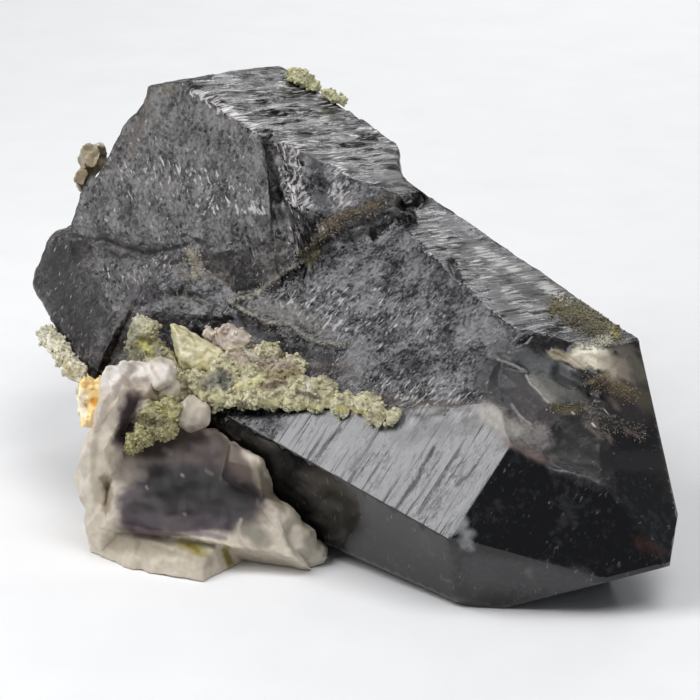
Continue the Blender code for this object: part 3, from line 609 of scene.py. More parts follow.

# %% [markdown]
# ## Stains, clouds and painted light of the dark crystals
# Rust has settled where the rear crystal meets the shoulder, an olive film lies on the corner at
# the upper right, and thin broken edges look milky because light gets into them. Other strokes are
# painted light: shade in hollows and grooves, shadows under a ledge, in a pit and under the band, a
# bright strip painted as a highlight and tiny painted glints.

# %% Paint the dark crystals
BLACK = "#08080a"
DARK_STROKES = [
    # Upper left face: its edge is a little brown, cracks run across it.
    ("#4a4038", 9, 0.55, [(150, 92), (140, 120), (128, 150)]),
    ("#5a5140", 6, 0.5, [(160, 84), (175, 92)]),
    ("#141215", 30, 0.75, [(62, 262), (70, 300), (84, 330)]),
    # Painted shadow along the ledge under the upper left face.
    ("#1b191a", 3.5, 0.8, [(97, 238), (120, 246), (145, 255), (170, 250), (186, 244)]),
    ("#2b2526", 2, 0.6, [(127, 188), (140, 203), (158, 211), (182, 226)]),
    # Painted shade in the carved groove at the right edge of the face.
    ("#100f11", 6.5, 0.9, [(264, 138), (270, 165), (277, 200)]),
    # Terrace between the rear crystal and the shoulder.
    ("#8f887a", 7, 0.75, [(190, 254), (198, 264), (196, 276)]),
    ("#6d675e", 9, 0.5, [(175, 272), (205, 276), (228, 280)]),
    ("#2c2530", 14, 0.6, [(128, 290), (150, 300)]),
    ("#6c6d69", 9, 0.55, [(170, 300), (195, 300), (215, 303)]),
    ("#262029", 11, 0.7, [(165, 322), (190, 330), (200, 345)]),
    # Pale rim of the shoulder and the milky triangle that it encloses.
    ("#6e6b67", 14, 0.6, [(258, 306), (290, 310), (325, 328)]),
    ("#8f8d80", 3.4, 0.75, [(229, 302), (250, 296), (262, 290)]),
    ("#85827a", 3.0, 0.65, [(262, 290), (282, 274), (300, 262)]),
    ("#8d8a82", 3.6, 0.7, [(229, 302), (248, 313), (268, 323), (288, 322)]),
    ("#84817b", 4.4, 0.7, [(288, 322), (302, 335), (320, 343), (345, 343)]),
    ("#77767a", 9, 0.5, [(330, 335), (360, 340)]),
    ("#1d1b21", 9, 0.75, [(235, 318), (262, 335), (292, 348), (330, 358)]),
    ("#453c37", 12, 0.5, [(245, 352), (300, 362), (350, 372)]),
    ("#5c5654", 9, 0.6, [(375, 396), (420, 404), (465, 404)]),
    ("#17161a", 4, 0.85, [(384, 430), (394, 428)]),
    ("#1b191d", 5, 0.7, [(404, 412), (425, 418), (446, 410)]),
    # Rust along the foot of the wall.
    ("#3a3029", 14, 0.55, [(392, 196), (368, 212), (340, 222)]),
    ("#4c4335", 9, 0.6, [(332, 226), (318, 240), (306, 256)]),
    ("#5c563f", 5, 0.7, [(308, 264), (318, 252)]),
    ("#77684f", 6, 0.65, [(343, 214), (330, 222), (324, 228)]),
    ("#7b7263", 4, 0.65, [(350, 213), (368, 208)]),
    ("#75603f", 3.5, 0.7, [(370, 204), (377, 207)]),
    # Painted shade in the carved groove at the foot of the wall.
    ("#14110f", 7, 0.95, [(320, 246), (350, 236), (378, 226), (398, 212)]),
    # Painted shadow: black in the carved pit beside it.
    ("#050505", 7, 1.0, [(404, 204), (422, 199)]),
    ("#37302c", 14, 0.6, [(390, 172), (408, 184)]),
    ("#131114", 9, 0.7, [(262, 222), (290, 216), (312, 218)]),
    ("#121014", 10, 0.6, [(310, 150), (322, 180), (322, 200)]),
    # Stepped upper face: painted shade in the hollows to its left, a bright strip along its far
    # edge painted as a highlight.
    ("#141317", 7, 0.8, [(470, 240), (455, 255), (448, 275)]),
    ("#121115", 5, 0.85, [(458, 272), (452, 300)]),
    ("#19171c", 9, 0.6, [(480, 262), (500, 300), (515, 318)]),
    ("#5d5d58", 9, 0.9, [(474, 246), (500, 260), (540, 282), (575, 300)]),
    ("#1c1b1e", 8, 0.8, [(500, 276), (530, 292), (552, 304)]),
    ("#55555a", 6, 0.8, [(430, 200), (450, 222), (474, 244)]),
    # Olive film on the upper right corner.
    ("#3b3728", 20, 0.95, [(560, 306), (588, 322), (610, 336)]),
    ("#2c2819", 7, 0.8, [(566, 322), (588, 336)]),
    # Grey ground of the chip, dark and glassy to the right.
    ("#3d3c3e", 30, 1.0, [(492, 375), (520, 395), (550, 400)]),
    ("#4f4f50", 13, 0.9, [(498, 348), (530, 358), (556, 366)]),
    ("#1b191b", 26, 1.0, [(580, 425), (615, 415), (650, 400)]),
    ("#121113", 18, 1.0, [(560, 445), (600, 460), (655, 462)]),
    # Cream wedge, whitest above, with a pinkish side and a brown and olive lower edge.
    ("#4a4336", 16, 0.95, [(606, 386), (628, 392), (650, 402)]),
    ("#5a554b", 15, 0.9, [(626, 352), (642, 374)]),
    ("#726547", 5, 0.8, [(616, 384), (630, 391)]),
    ("#978d78", 7, 1.0, [(553, 352), (568, 357), (582, 364)]),
    ("#b3a995", 14, 1.0, [(578, 354), (600, 358), (616, 368)]),
    ("#e4decd", 7, 0.95, [(576, 352), (592, 350), (606, 352)]),
    ("#d3cab9", 6, 0.8, [(588, 360), (604, 367)]),
    ("#857970", 9, 0.85, [(616, 362), (628, 376)]),
    ("#8f7f6a", 5, 0.7, [(600, 376), (612, 380)]),
    ("#604c3f", 5, 0.8, [(592, 380), (606, 388), (618, 396)]),
    ("#6b6762", 3, 0.7, [(616, 348), (626, 353)]),
    # Dark glassy hollow under the wedge, its deepest part blackened as painted shade.
    ("#5a5c5f", 12, 0.6, [(530, 364), (552, 372)]),
    ("#2e2f32", 9, 0.9, [(556, 371), (574, 380)]),
    ("#070708", 8, 0.95, [(578, 382), (596, 391), (610, 400)]),
    # Pale blade with its grey side and olive foot.
    ("#5f605b", 12, 0.85, [(542, 382), (558, 392), (580, 398)]),
    ("#76736c", 8, 0.85, [(533, 378), (544, 390), (556, 402)]),
    ("#8d928a", 2.2, 0.75, [(498, 359), (511, 364), (526, 372)]),
    ("#a39f97", 1.6, 0.8, [(526, 375), (530, 384), (541, 394), (548, 402)]),
    ("#57523a", 7, 0.9, [(556, 409), (572, 410), (584, 407)]),
    # Milky cloud of the chip.
    ("#453e40", 12, 0.9, [(520, 392), (534, 406), (548, 418)]),
    ("#7e7a77", 22, 0.85, [(486, 412), (508, 428), (536, 436)]),
    ("#a09b95", 12, 0.8, [(484, 412), (498, 420), (514, 430)]),
    ("#5f4f4b", 7, 0.7, [(508, 444), (530, 454), (552, 460)]),
    ("#3a393b", 16, 0.45, [(556, 464), (580, 474), (600, 482)]),
    ("#a39e98", 1.6, 0.75, [(512, 404), (520, 415), (531, 424)]),
    # Sparkly brown ground at the right, with pale brown streaks; its tiny near-white dots are
    # painted glints.
    ("#3a302d", 12, 0.85, [(584, 408), (592, 425), (600, 434)]),
    ("#221b1a", 12, 0.8, [(626, 408), (644, 422)]),
    ("#6d5f56", 2.6, 0.85, [(612, 400), (618, 412), (624, 424)]),
    ("#6b5b54", 3.4, 0.8, [(624, 430), (634, 436), (642, 437)]),
    ("#685850", 3.2, 0.75, [(606, 432), (612, 442)]),
    ("#c4bdb7", 1.3, 0.95, [(572, 412), (574, 414)]),
    ("#c4bdb7", 1.4, 0.95, [(592, 423), (595, 426)]),
    ("#c4bdb7", 1.2, 0.9, [(604, 410), (606, 412)]),
    ("#cfcac6", 1.3, 0.95, [(634, 399), (637, 401)]),
    ("#cfcac6", 1.4, 0.95, [(645, 423), (647, 426)]),
    ("#cfcac6", 1.2, 0.95, [(641, 449), (642, 451)]),
    # Strong growth lines of the etched face.
    ("#242426", 3.0, 0.85, [(316, 457), (329, 442), (340, 429)]),
    ("#1d1d1f", 3.2, 0.9, [(397, 508), (415, 482), (425, 462), (436, 446)]),
    ("#2b2b2d", 2.8, 0.8, [(418, 514), (440, 482), (459, 450)]),
    ("#242426", 2.6, 0.8, [(457, 484), (466, 478), (474, 465)]),
    ("#323234", 4.0, 0.6, [(352, 470), (368, 446), (380, 428)]),
    ("#4c4c4e", 14, 0.4, [(400, 440), (430, 430), (470, 426)]),
    ("#19191b", 4.0, 0.8, [(386, 431), (396, 428)]),
    # Lower corner of the etched face, rust on the end faces.
    ("#85878a", 9, 0.8, [(452, 530), (462, 520), (468, 545)]),
    ("#3a1d16", 12, 0.5, [(640, 542), (660, 552)]),
    ("#5a4038", 4, 0.6, [(440, 578), (458, 584)]),
    ("#343436", 24, 0.7, [(478, 572), (520, 574), (580, 582)]),
    ("#6c6a68", 5, 0.6, [(528, 570), (538, 580)]),
    ("#241f1d", 8, 0.5, [(652, 370), (660, 420), (668, 500)]),
    # Shadow under the feldspar band.
    (BLACK, 5, 0.9, [(216, 402), (245, 402), (262, 398), (284, 396)]),
]
dark_paint = painted(dark, DARK_STROKES)
# Where painted glints lie thick, as bright flecks in the colour: half width, amount and path.
PAINTED_GLINT_FLECKS = [
    (9, 0.9, [(195, 92), (225, 108), (262, 132)]),
    (12, 0.45, [(262, 128), (320, 150), (380, 165)]),
    (30, 0.25, [(230, 95), (300, 112), (370, 150)]),
    (7, 0.6, [(282, 84), (340, 112), (396, 148)]),
    (18, 0.85, [(290, 148), (292, 175), (300, 202)]),
    (20, 0.7, [(334, 168), (342, 196)]),
    (12, 0.4, [(362, 172), (372, 190)]),
    (8, 0.8, [(283, 170), (290, 200)]),
    (16, 0.4, [(165, 168), (190, 178)]),
    (12, 0.5, [(196, 200), (215, 214)]),
    (12, 0.6, [(232, 204), (258, 208)]),
    (30, 0.25, [(130, 180), (240, 190)]),
    (20, 0.4, [(110, 285), (160, 262)]),
    (18, 0.5, [(290, 300), (340, 330)]),
    (40, 0.35, [(330, 300), (420, 320)]),
    (30, 0.45, [(390, 395), (460, 400)]),
    (12, 0.7, [(436, 232), (455, 250)]),
    (14, 0.6, [(470, 262), (500, 285), (530, 310)]),
    (8, 0.9, [(480, 250), (520, 272), (572, 302)]),
    (10, 0.5, [(410, 205), (440, 214)]),
    (14, 0.5, [(590, 415), (640, 430)]),
]
across, down = in_view(places(dark.verts))
painted_glints = np.zeros(len(dark.verts))
for width, amount, path in PAINTED_GLINT_FLECKS:
    painted_glints = np.maximum(painted_glints, amount * stroke_hold(across, down, path, width))
print("stained share:", round(float((dark_paint[1] > 0.3).mean()), 2))

# %% [markdown]
# ## Smoky quartz, skin by skin
# All of these are one mineral: quartz, with an index of refraction of 1.544 and a body so dark that
# light hardly comes back out of it. What differs is the skin. One function builds the finish:
# a dark body, a paler frosted share broken up by grain or drawn out into streaks across the long
# axis, tiny mirror facets each tilted its own way, which glint, and a bump at the real grain size.
# The strokes lie over it, and so do pale flecks painted into the colour as glints. The facets here
# are drawn a little coarser than the real ones, which are too fine to show at this distance.

# %% Finishes of the dark crystals
LIES_ACROSS = CRYSTAL_TURN.to_euler("XYZ")
LIES_DOWN_WALL = WALL_TURN.to_euler("XYZ")
QUARTZ_IOR = 1.544
DARK_ANGLE = 38


def stains_and_painted_light_over(tree, ground, grain_source, ragged):
    """Lays the painted strokes, real stains and painted light alike, over a colour, with an edge
    broken up by the grain.
    """
    strokes = add_node(tree, "ShaderNodeAttribute", {"attribute_name": "stain_and_painted_light_colour"})
    strength = add_node(tree, "ShaderNodeAttribute", {"attribute_name": "stain_and_painted_light"})
    broken_up = add_node(
        tree,
        "ShaderNodeMath",
        {"operation": "MULTIPLY_ADD", 1: ragged},
        {0: grain_source, 2: strength.outputs["Fac"]},
    )
    middle = 0.5 + ragged / 2
    held = add_node(
        tree,
        "ShaderNodeMapRange",
        {"From Min": middle - 0.38, "From Max": middle + 0.38},
        {"Value": broken_up.outputs[0]},
    )
    speckle = add_node(
        tree,
        "ShaderNodeMapRange",
        {"To Min": 1 - ragged / 2, "To Max": 1 + ragged / 2},
        {"Value": grain_source},
    )
    shade = add_node(
        tree,
        "ShaderNodeMix",
        {"data_type": "RGBA", "blend_type": "MULTIPLY", 0: 1.0},
        {6: strokes.outputs["Color"], 7: speckle.outputs[0]},
    )
    laid = add_node(
        tree,
        "ShaderNodeMix",
        {"data_type": "RGBA"},
        {0: held.outputs[0], 6: ground, 7: shade.outputs[2]},
    )
    return laid.outputs[2], held.outputs[0]


def facets(tree, where, size, tilt, bumped):
    """Tiny flat facets of this size in mm, each tilted its own way: the normal and the cells."""
    cells = add_node(tree, "ShaderNodeTexVoronoi", {"Scale": 1 / (size * MM)}, {"Vector": where})
    centred = add_node(
        tree,
        "ShaderNodeVectorMath",
        {"operation": "SUBTRACT", 1: (0.5, 0.5, 0.5)},
        {0: cells.outputs["Color"]},
    )
    scaled = add_node(
        tree, "ShaderNodeVectorMath", {"operation": "SCALE", "Scale": tilt}, {0: centred.outputs[0]}
    )
    turned = add_node(
        tree, "ShaderNodeVectorMath", {"operation": "ADD"}, {0: scaled.outputs[0], 1: bumped}
    )
    level = add_node(
        tree, "ShaderNodeVectorMath", {"operation": "NORMALIZE"}, {0: turned.outputs[0]}
    )
    return level.outputs[0], cells.outputs["Color"]


def morion_finish(
    name,
    lie,
    body,
    frost,
    amount,
    grain,
    stretch,
    bump,
    height,
    roughness,
    facet,
    tilt,
    grooves,
    ragged,
    flecks,
):
    """Smoky quartz; the columns of the table below tell what each value is."""
    material, tree = new_material(name)
    place = add_node(tree, "ShaderNodeTexCoord")
    turned = add_node(
        tree, "ShaderNodeMapping", {"Rotation": lie}, {"Vector": place.outputs["Object"]}
    )
    drawn = add_node(
        tree,
        "ShaderNodeMapping",
        {"Scale": (1.0, 1.0 / stretch, 1.0 / max(1.0, stretch * 0.5))},
        {"Vector": turned.outputs[0]},
    )
    cells = 1 / (grain * MM)
    grains = add_node(
        tree,
        "ShaderNodeTexNoise",
        {"Scale": cells, "Detail": 4.0, "Roughness": 0.62},
        {"Vector": drawn.outputs[0]},
    )
    clouds = add_node(
        tree,
        "ShaderNodeTexNoise",
        {"Scale": cells / 7, "Detail": 2.0},
        {"Vector": drawn.outputs[0]},
    )
    both = add_node(
        tree,
        "ShaderNodeMath",
        {"operation": "MULTIPLY_ADD", 1: 0.8},
        {0: clouds.outputs["Fac"], 2: grains.outputs["Fac"]},
    )
    edge = 1.12 - 0.45 * amount
    frosted = add_node(
        tree,
        "ShaderNodeMapRange",
        {"From Min": edge - 0.10, "From Max": edge + 0.14},
        {"Value": both.outputs[0]},
    )
    ground = add_node(
        tree,
        "ShaderNodeMix",
        {"data_type": "RGBA", 6: linear(body), 7: linear(frost)},
        {0: frosted.outputs[0]},
    )
    long_drawn = add_node(
        tree, "ShaderNodeMapping", {"Scale": (1.0, 0.03, 0.03)}, {"Vector": turned.outputs[0]}
    )
    lines = add_node(
        tree,
        "ShaderNodeTexNoise",
        {"Scale": 1 / (0.9 * MM), "Detail": 3.0, "Roughness": 0.7},
        {"Vector": long_drawn.outputs[0]},
    )
    groove = add_node(
        tree,
        "ShaderNodeMapRange",
        {"From Min": 0.56, "From Max": 0.66, "To Max": grooves},
        {"Value": lines.outputs["Fac"]},
    )
    grooved = add_node(
        tree,
        "ShaderNodeMix",
        {"data_type": "RGBA", 7: linear(body)},
        {0: groove.outputs[0], 6: ground.outputs[2]},
    )
    stains_and_painted_light_laid, held = stains_and_painted_light_over(tree, grooved.outputs[2], grains.outputs["Fac"], ragged)
    # Painted glints: pale flecks mixed into the colour where the painted glint strength is high.
    dashes = 1 / max(3.5, stretch)
    dash_place = add_node(
        tree, "ShaderNodeMapping", {"Scale": (1.0, dashes, dashes)}, {"Vector": turned.outputs[0]}
    )
    dash_noise = add_node(
        tree,
        "ShaderNodeTexNoise",
        {"Scale": 1 / (0.48 * MM), "Detail": 2.0, "Roughness": 0.5},
        {"Vector": dash_place.outputs[0]},
    )
    thick = add_node(tree, "ShaderNodeAttribute", {"attribute_name": "painted_glints"})
    gathered = add_node(
        tree,
        "ShaderNodeMath",
        {"operation": "MULTIPLY_ADD", 1: 0.24},
        {0: thick.outputs["Fac"], 2: dash_noise.outputs["Fac"]},
    )
    fleck = add_node(
        tree,
        "ShaderNodeMapRange",
        {"From Min": 0.66, "From Max": 0.78, "To Max": flecks},
        {"Value": gathered.outputs[0]},
    )
    flecked = add_node(
        tree,
        "ShaderNodeMix",
        {"data_type": "RGBA", 7: linear("#bdb9b9")},
        {0: fleck.outputs[0], 6: stains_and_painted_light_laid},
    )
    colour = flecked.outputs[2]
    depth = add_node(
        tree,
        "ShaderNodeMath",
        {"operation": "MULTIPLY_ADD", 1: -0.8},
        {0: groove.outputs[0], 2: grains.outputs["Fac"]},
    )
    relief_node = add_node(
        tree,
        "ShaderNodeBump",
        {"Strength": bump, "Distance": height * MM},
        {"Height": depth.outputs[0]},
    )
    normal, cells_colour = facets(tree, drawn.outputs[0], facet, tilt, relief_node.outputs[0])
    glint = add_node(
        tree,
        "ShaderNodeMapRange",
        {"From Min": 0.78, "From Max": 0.86, "To Min": roughness, "To Max": roughness * 0.4},
        {"Value": cells_colour},
    )
    satin = add_node(
        tree,
        "ShaderNodeMapRange",
        {"To Max": max(roughness, 0.5)},
        {"Value": held, "To Min": glint.outputs[0]},
    )
    shader = add_node(
        tree,
        "ShaderNodeBsdfPrincipled",
        {"IOR": QUARTZ_IOR},
        {"Base Color": colour, "Normal": normal, "Roughness": satin.outputs[0]},
    )
    add_node(tree, "ShaderNodeOutputMaterial", None, {"Surface": shader.outputs[0]})
    return material


# Columns: body, frost, frosted amount, grain in mm, stretch, bump, its height in mm, roughness,
# facet in mm, its tilt, grooves across the axis, raggedness of the strokes, painted glint flecks.
FINISHES = {
    "glassy": ("#0a0a0c", "#29292b", 0.25, 1.2, 1, 0.05, 0.2, 0.12, 0.8, 0.015, 0, 0.5, 0.2),
    "etched": ("#1c1c1e", "#6f6f71", 0.85, 0.4, 5, 0.5, 0.12, 0.26, 0.5, 0.1, 1, 0.8, 0.3),
    "stepped": ("#0d0d10", "#66666a", 0.33, 0.5, 9, 0.9, 0.25, 0.26, 0.8, 0.38, 0.5, 0.9, 0.9),
    "foliated": ("#08080a", "#747477", 0.3, 0.45, 8, 1, 0.3, 0.18, 0.9, 0.5, 0.5, 1.2, 1),
    "hillocky": ("#1a191d", "#757477", 0.47, 0.6, 2, 1, 0.3, 0.24, 0.6, 0.6, 0, 1.4, 0.8),
    "sparkling": ("#1a191a", "#5e5c5b", 0.49, 0.55, 1.6, 0.9, 0.22, 0.34, 0.5, 0.55, 0, 1.2, 0.8),
    "ridged": ("#0d0c0e", "#6e6967", 0.26, 0.6, 6, 1, 0.35, 0.16, 0.8, 0.65, 0, 1.2, 1),
    "conchoidal": ("#181617", "#3c393a", 0.45, 0.5, 1.5, 0.35, 0.15, 0.3, 1.2, 0.1, 0, 1, 0.3),
    "broken": ("#161416", "#55504e", 0.35, 0.8, 1.2, 0.9, 0.35, 0.28, 0.8, 0.45, 0, 1, 0.7),
    "hidden_face": ("#111114", "#4c4c50", 0.45, 0.8, 10, 0.5, 0.2, 0.16, 0.8, 0.12, 0.4, 0.6, 0.3),
}
WALL_SKINS = ("sparkling", "ridged")
dark_finishes = [
    morion_finish(
        "morion_" + name, LIES_DOWN_WALL if name in WALL_SKINS else LIES_ACROSS, *FINISHES[name]
    )
    for name in SKINS
]
# Where loose grains lie, as their number, half width and path.
SCATTERED = [
    (170, 24, [(262, 352), (320, 362), (380, 392), (440, 400)]),
    (1300, 19, [(562, 308), (588, 320), (610, 332)]),
    (160, 9, [(588, 345), (606, 340)]),
    (260, 12, [(588, 378), (606, 386), (630, 396)]),
    (160, 13, [(588, 410), (604, 424), (636, 432)]),
    (260, 13, [(324, 230), (345, 216), (378, 204)]),
    (120, 9, [(304, 256), (318, 244)]),
    (100, 7, [(229, 302), (262, 290), (300, 262)]),
    (160, 8, [(229, 302), (268, 323), (302, 336), (345, 343)]),
    (90, 12, [(190, 254), (198, 264), (196, 276)]),
    (90, 7, [(552, 408), (584, 408)]),
]


def loose_spots(bm):
    """Spots for the loose grains, on the faces of the dark crystals that the eye sees."""
    middles = np.array([f.calc_center_median() for f in bm.faces]) / MM - SEED
    across, down = in_view(middles)
    turned = np.array([f.normal.dot(toward_eye) > 0.1 for f in bm.faces])
    areas = face_areas(bm) * turned
    spots = []
    for number, (count, width, path) in enumerate(SCATTERED):
        spots += spots_on(bm, count, number, stroke_hold(across, down, path, width) * areas)
    return spots


grain_spots = loose_spots(dark)
finished(
    dark,
    "morion_crystals_finished",
    ["morion_crystals"],
    dark_finishes,
    DARK_ANGLE,
    dark_paint,
    painted_glints,
)

# %% [markdown]
# ## Feldspar and milky quartz
# The crusts are fine feldspar grains of a fraction of a millimetre on a lumpy ground. The ground is
# the CAD node, rounded and pushed out in small lumps, and on it sit hundreds of little
# twenty-sided grains, each squashed and turned its own way. All of it is a little translucent, so
# the shader scatters light below the surface.

# %% Grains and the mineral finish
CRUST_ANGLE = 42
EDGE_LENGTH = 0.45


def mineral_finish(
    name,
    ground_colour,
    light,
    grain,
    roughness,
    scatter,
    bump=0.8,
    tilt=0.3,
    clear=0.0,
    ragged=0.8,
    shine=0.5,
):
    """A granular or milky mineral; light is how far its high places are paler than its low ones,
    which paints shade into the low places.
    """
    material, tree = new_material(name)
    place = add_node(tree, "ShaderNodeTexCoord")
    grains = add_node(
        tree,
        "ShaderNodeTexNoise",
        {"Scale": 1 / (grain * MM), "Detail": 4.0, "Roughness": 0.6},
        {"Vector": place.outputs["Object"]},
    )
    spread = add_node(
        tree,
        "ShaderNodeMapRange",
        {"From Min": 0.3, "From Max": 0.7, "To Min": 1 - light, "To Max": 1 + light},
        {"Value": grains.outputs["Fac"]},
    )
    ground = add_node(
        tree,
        "ShaderNodeMix",
        {"data_type": "RGBA", "blend_type": "MULTIPLY", 0: 1.0, 6: linear(ground_colour)},
        {7: spread.outputs[0]},
    )
    colour, _ = stains_and_painted_light_over(tree, ground.outputs[2], grains.outputs["Fac"], ragged)
    relief_node = add_node(
        tree,
        "ShaderNodeBump",
        {"Strength": bump, "Distance": 0.25 * MM},
        {"Height": grains.outputs["Fac"]},
    )
    normal, _ = facets(tree, place.outputs["Object"], grain * 0.7, tilt, relief_node.outputs[0])
    shader = add_node(
        tree,
        "ShaderNodeBsdfPrincipled",
        {
            "Roughness": roughness,
            "IOR": QUARTZ_IOR,
            "Subsurface Weight": scatter,
            "Subsurface Radius": (1.2, 1.0, 0.8),
            "Subsurface Scale": 1.0 * MM,
            "Transmission Weight": clear,
            "Specular IOR Level": shine,
        },
        {"Base Color": colour, "Normal": normal},
    )
    add_node(tree, "ShaderNodeOutputMaterial", None, {"Surface": shader.outputs[0]})
    return material


def crust_piece(node, ground, strokes, grains=(0, (0, 0)), lump=0.3, size=1.2, turns=3, **finish):
    """A crust or small crystal: rounded, lumpy, painted, and covered with grains if wanted."""
    bm = refined(node, EDGE_LENGTH, EDGE_LENGTH * 2)
    rounded(bm, turns)
    push(bm, lumpy(places(bm.verts), size, len(node), 3) * lump)
    count, sizes = grains
    if count:
        spots = spots_on(bm, count // (1), len(node), face_areas(bm))
        add_grains(bm, spots, sizes, len(node))
    for vert in bm.verts:
        vert.co = boxed(vert.co)
    bm.normal_update()
    material = mineral_finish(node + "_mineral", ground, **finish)
    finished(bm, node + "_finished", [node], [material], CRUST_ANGLE, painted(bm, strokes))


# light sets how far the low places of the grains are darkened as painted shade.
granular = {"light": 0.55, "grain": 0.55, "roughness": 0.40, "scatter": 0.3, "tilt": 0.5}
smooth = {"light": 0.25, "grain": 1.6, "roughness": 0.30, "scatter": 0.5, "bump": 0.3, "tilt": 0.12}
print("mineral helpers ready")

# %% [markdown]
# ## The crusts and small crystals
# Each crust has a ground colour and a few strokes of its own: the band is yellow-green with pinkish
# and brown places, the cluster at its left end is greyer, and the chip at the far left runs from
# cream to orange.

# %% Make the crusts
GREEN_STROKES = [
    ("#8f8d76", 18, 0.9, [(128, 325), (135, 355)]),
    ("#b5ae62", 9, 0.9, [(141, 342), (150, 350)]),
    ("#55553f", 6, 0.8, [(120, 345), (128, 362)]),
    ("#c3c0ac", 4, 0.9, [(136, 318), (142, 322)]),
    ("#6f6e55", 10, 0.8, [(160, 350), (172, 372)]),
    ("#77766a", 13, 0.8, [(205, 385), (228, 378)]),
    ("#4d4e40", 7, 0.8, [(220, 372), (224, 386)]),
    ("#c6bf92", 7, 0.85, [(236, 386), (262, 380)]),
    ("#a8998c", 10, 0.85, [(235, 355), (262, 362), (290, 366)]),
    ("#d2cbbb", 3, 0.8, [(246, 352), (258, 356)]),
    ("#6b584a", 6, 0.8, [(262, 386), (285, 384)]),
    ("#8a7c5c", 8, 0.8, [(270, 375), (300, 372)]),
    ("#d3d2c4", 3.5, 0.9, [(307, 374), (309, 392)]),
    ("#9f9583", 8, 0.75, [(325, 372), (350, 378)]),
    ("#b8b280", 4, 0.6, [(200, 394), (222, 400)]),
    ("#bdb784", 4, 0.7, [(262, 402), (290, 402), (318, 408)]),
    ("#b9b36c", 4, 0.7, [(338, 408), (364, 413)]),
    ("#5d5644", 4, 0.8, [(296, 392), (318, 398)]),
    ("#cbc7a6", 6, 0.7, [(356, 396), (380, 404)]),
]
crust_piece("feldspar_crust", "#b9b394", GREEN_STROKES, (900, (0.18, 0.5)), 0.5, 1.5, 5, **granular)
cream_strokes = [
    ("#a79a63", 7, 0.6, [(200, 362), (206, 376)]),
    ("#e0dcc6", 6, 0.6, [(176, 340), (186, 356)]),
]
crust_piece("cream_crystal", "#d0c9a4", cream_strokes, turns=9, **smooth)
pink_strokes = [
    ("#8f8784", 6, 0.7, [(212, 340), (222, 346)]),
    ("#ded5c9", 4, 0.7, [(232, 332), (240, 338)]),
]
crust_piece("pink_crystals", "#c3b5a8", pink_strokes, (40, (0.2, 0.5)), 0.3, **smooth)
side_strokes = [
    ("#4f4a28", 7, 0.8, [(140, 420), (160, 424)]),
    ("#b5ad6c", 5, 0.7, [(160, 408), (172, 415)]),
]
crust_piece("side_crust", "#a29c72", side_strokes, (260, (0.18, 0.45)), 0.45, 1.2, 5, **granular)
orange_strokes = [
    ("#f2b145", 9, 0.9, [(96, 400), (100, 420)]),
    ("#f8eed8", 9, 0.85, [(80, 396), (82, 412)]),
]
crust_piece("orange_feldspar_chip", "#f8d795", orange_strokes, (20, (0.2, 0.4)), 0.3, **smooth)
edge_strokes = [
    ("#b8ab78", 6, 0.6, [(62, 362), (72, 376)]),
    ("#e6e2d3", 5, 0.7, [(44, 332), (52, 348)]),
]
crust_piece("edge_crust", "#cfc9b2", edge_strokes, (220, (0.18, 0.45)), **granular)
crust_piece("top_edge_grains", "#bbb893", [], (60, (0.2, 0.45)), **granular)
crust_piece("top_edge_grains_small", "#bbb893", [], (40, (0.2, 0.4)), **granular)
lump_strokes = [
    ("#5d4517", 8, 0.9, [(96, 172), (100, 166)]),
    ("#c9c3ae", 6, 0.7, [(105, 158), (92, 182)]),
]
crust_piece("brown_lump", "#8d8168", lump_strokes, turns=4, **smooth)

# %% [markdown]
# ## Loose grains
# Fine grains also lie scattered on the dark crystals: pale feldspar beside the band and along the
# rims, an olive dust on the upper right corner, and rusty grains at the foot of the wall. They take
# their colours from strokes too.

# %% Scatter the loose grains
LOOSE_STROKES = [
    ("#5f5738", 40, 1.0, [(566, 312), (606, 330)]),
    ("#7d744c", 9, 0.8, [(556, 306), (580, 310), (600, 320)]),
    ("#433b27", 8, 0.9, [(566, 322), (592, 334)]),
    ("#a59a4c", 5, 1.0, [(611, 328), (618, 338)]),
    ("#c9c4ac", 9, 1.0, [(588, 346), (608, 340)]),
    ("#5f4f3b", 16, 1.0, [(590, 378), (630, 398)]),
    ("#564943", 18, 1.0, [(590, 412), (636, 432)]),
    ("#6d6352", 18, 1.0, [(324, 230), (345, 216), (378, 204)]),
    ("#4f4832", 12, 1.0, [(304, 258), (318, 244)]),
    ("#6a6442", 8, 1.0, [(552, 408), (584, 408)]),
    ("#7d7a70", 12, 1.0, [(229, 302), (268, 323), (302, 336), (345, 343)]),
    ("#7d7a70", 12, 1.0, [(229, 302), (262, 290), (300, 262)]),
]
loose = bmesh.new()
add_grains(loose, grain_spots, (0.08, 0.22), 6, 0.35)
loose_finish = mineral_finish("loose_feldspar_grains", "#98917c", ragged=0.5, **granular)
loose_paint = painted(loose, LOOSE_STROKES)
finished(loose, "loose_grains", [], [loose_finish], CRUST_ANGLE, loose_paint)

# %% [markdown]
# ## The side crystal
# It is smoky in its heart and milky at its edges and on the flange that it stands on. The heart is
# glassy and lets some light through; the violet-brown tone and the cream edges are strokes.

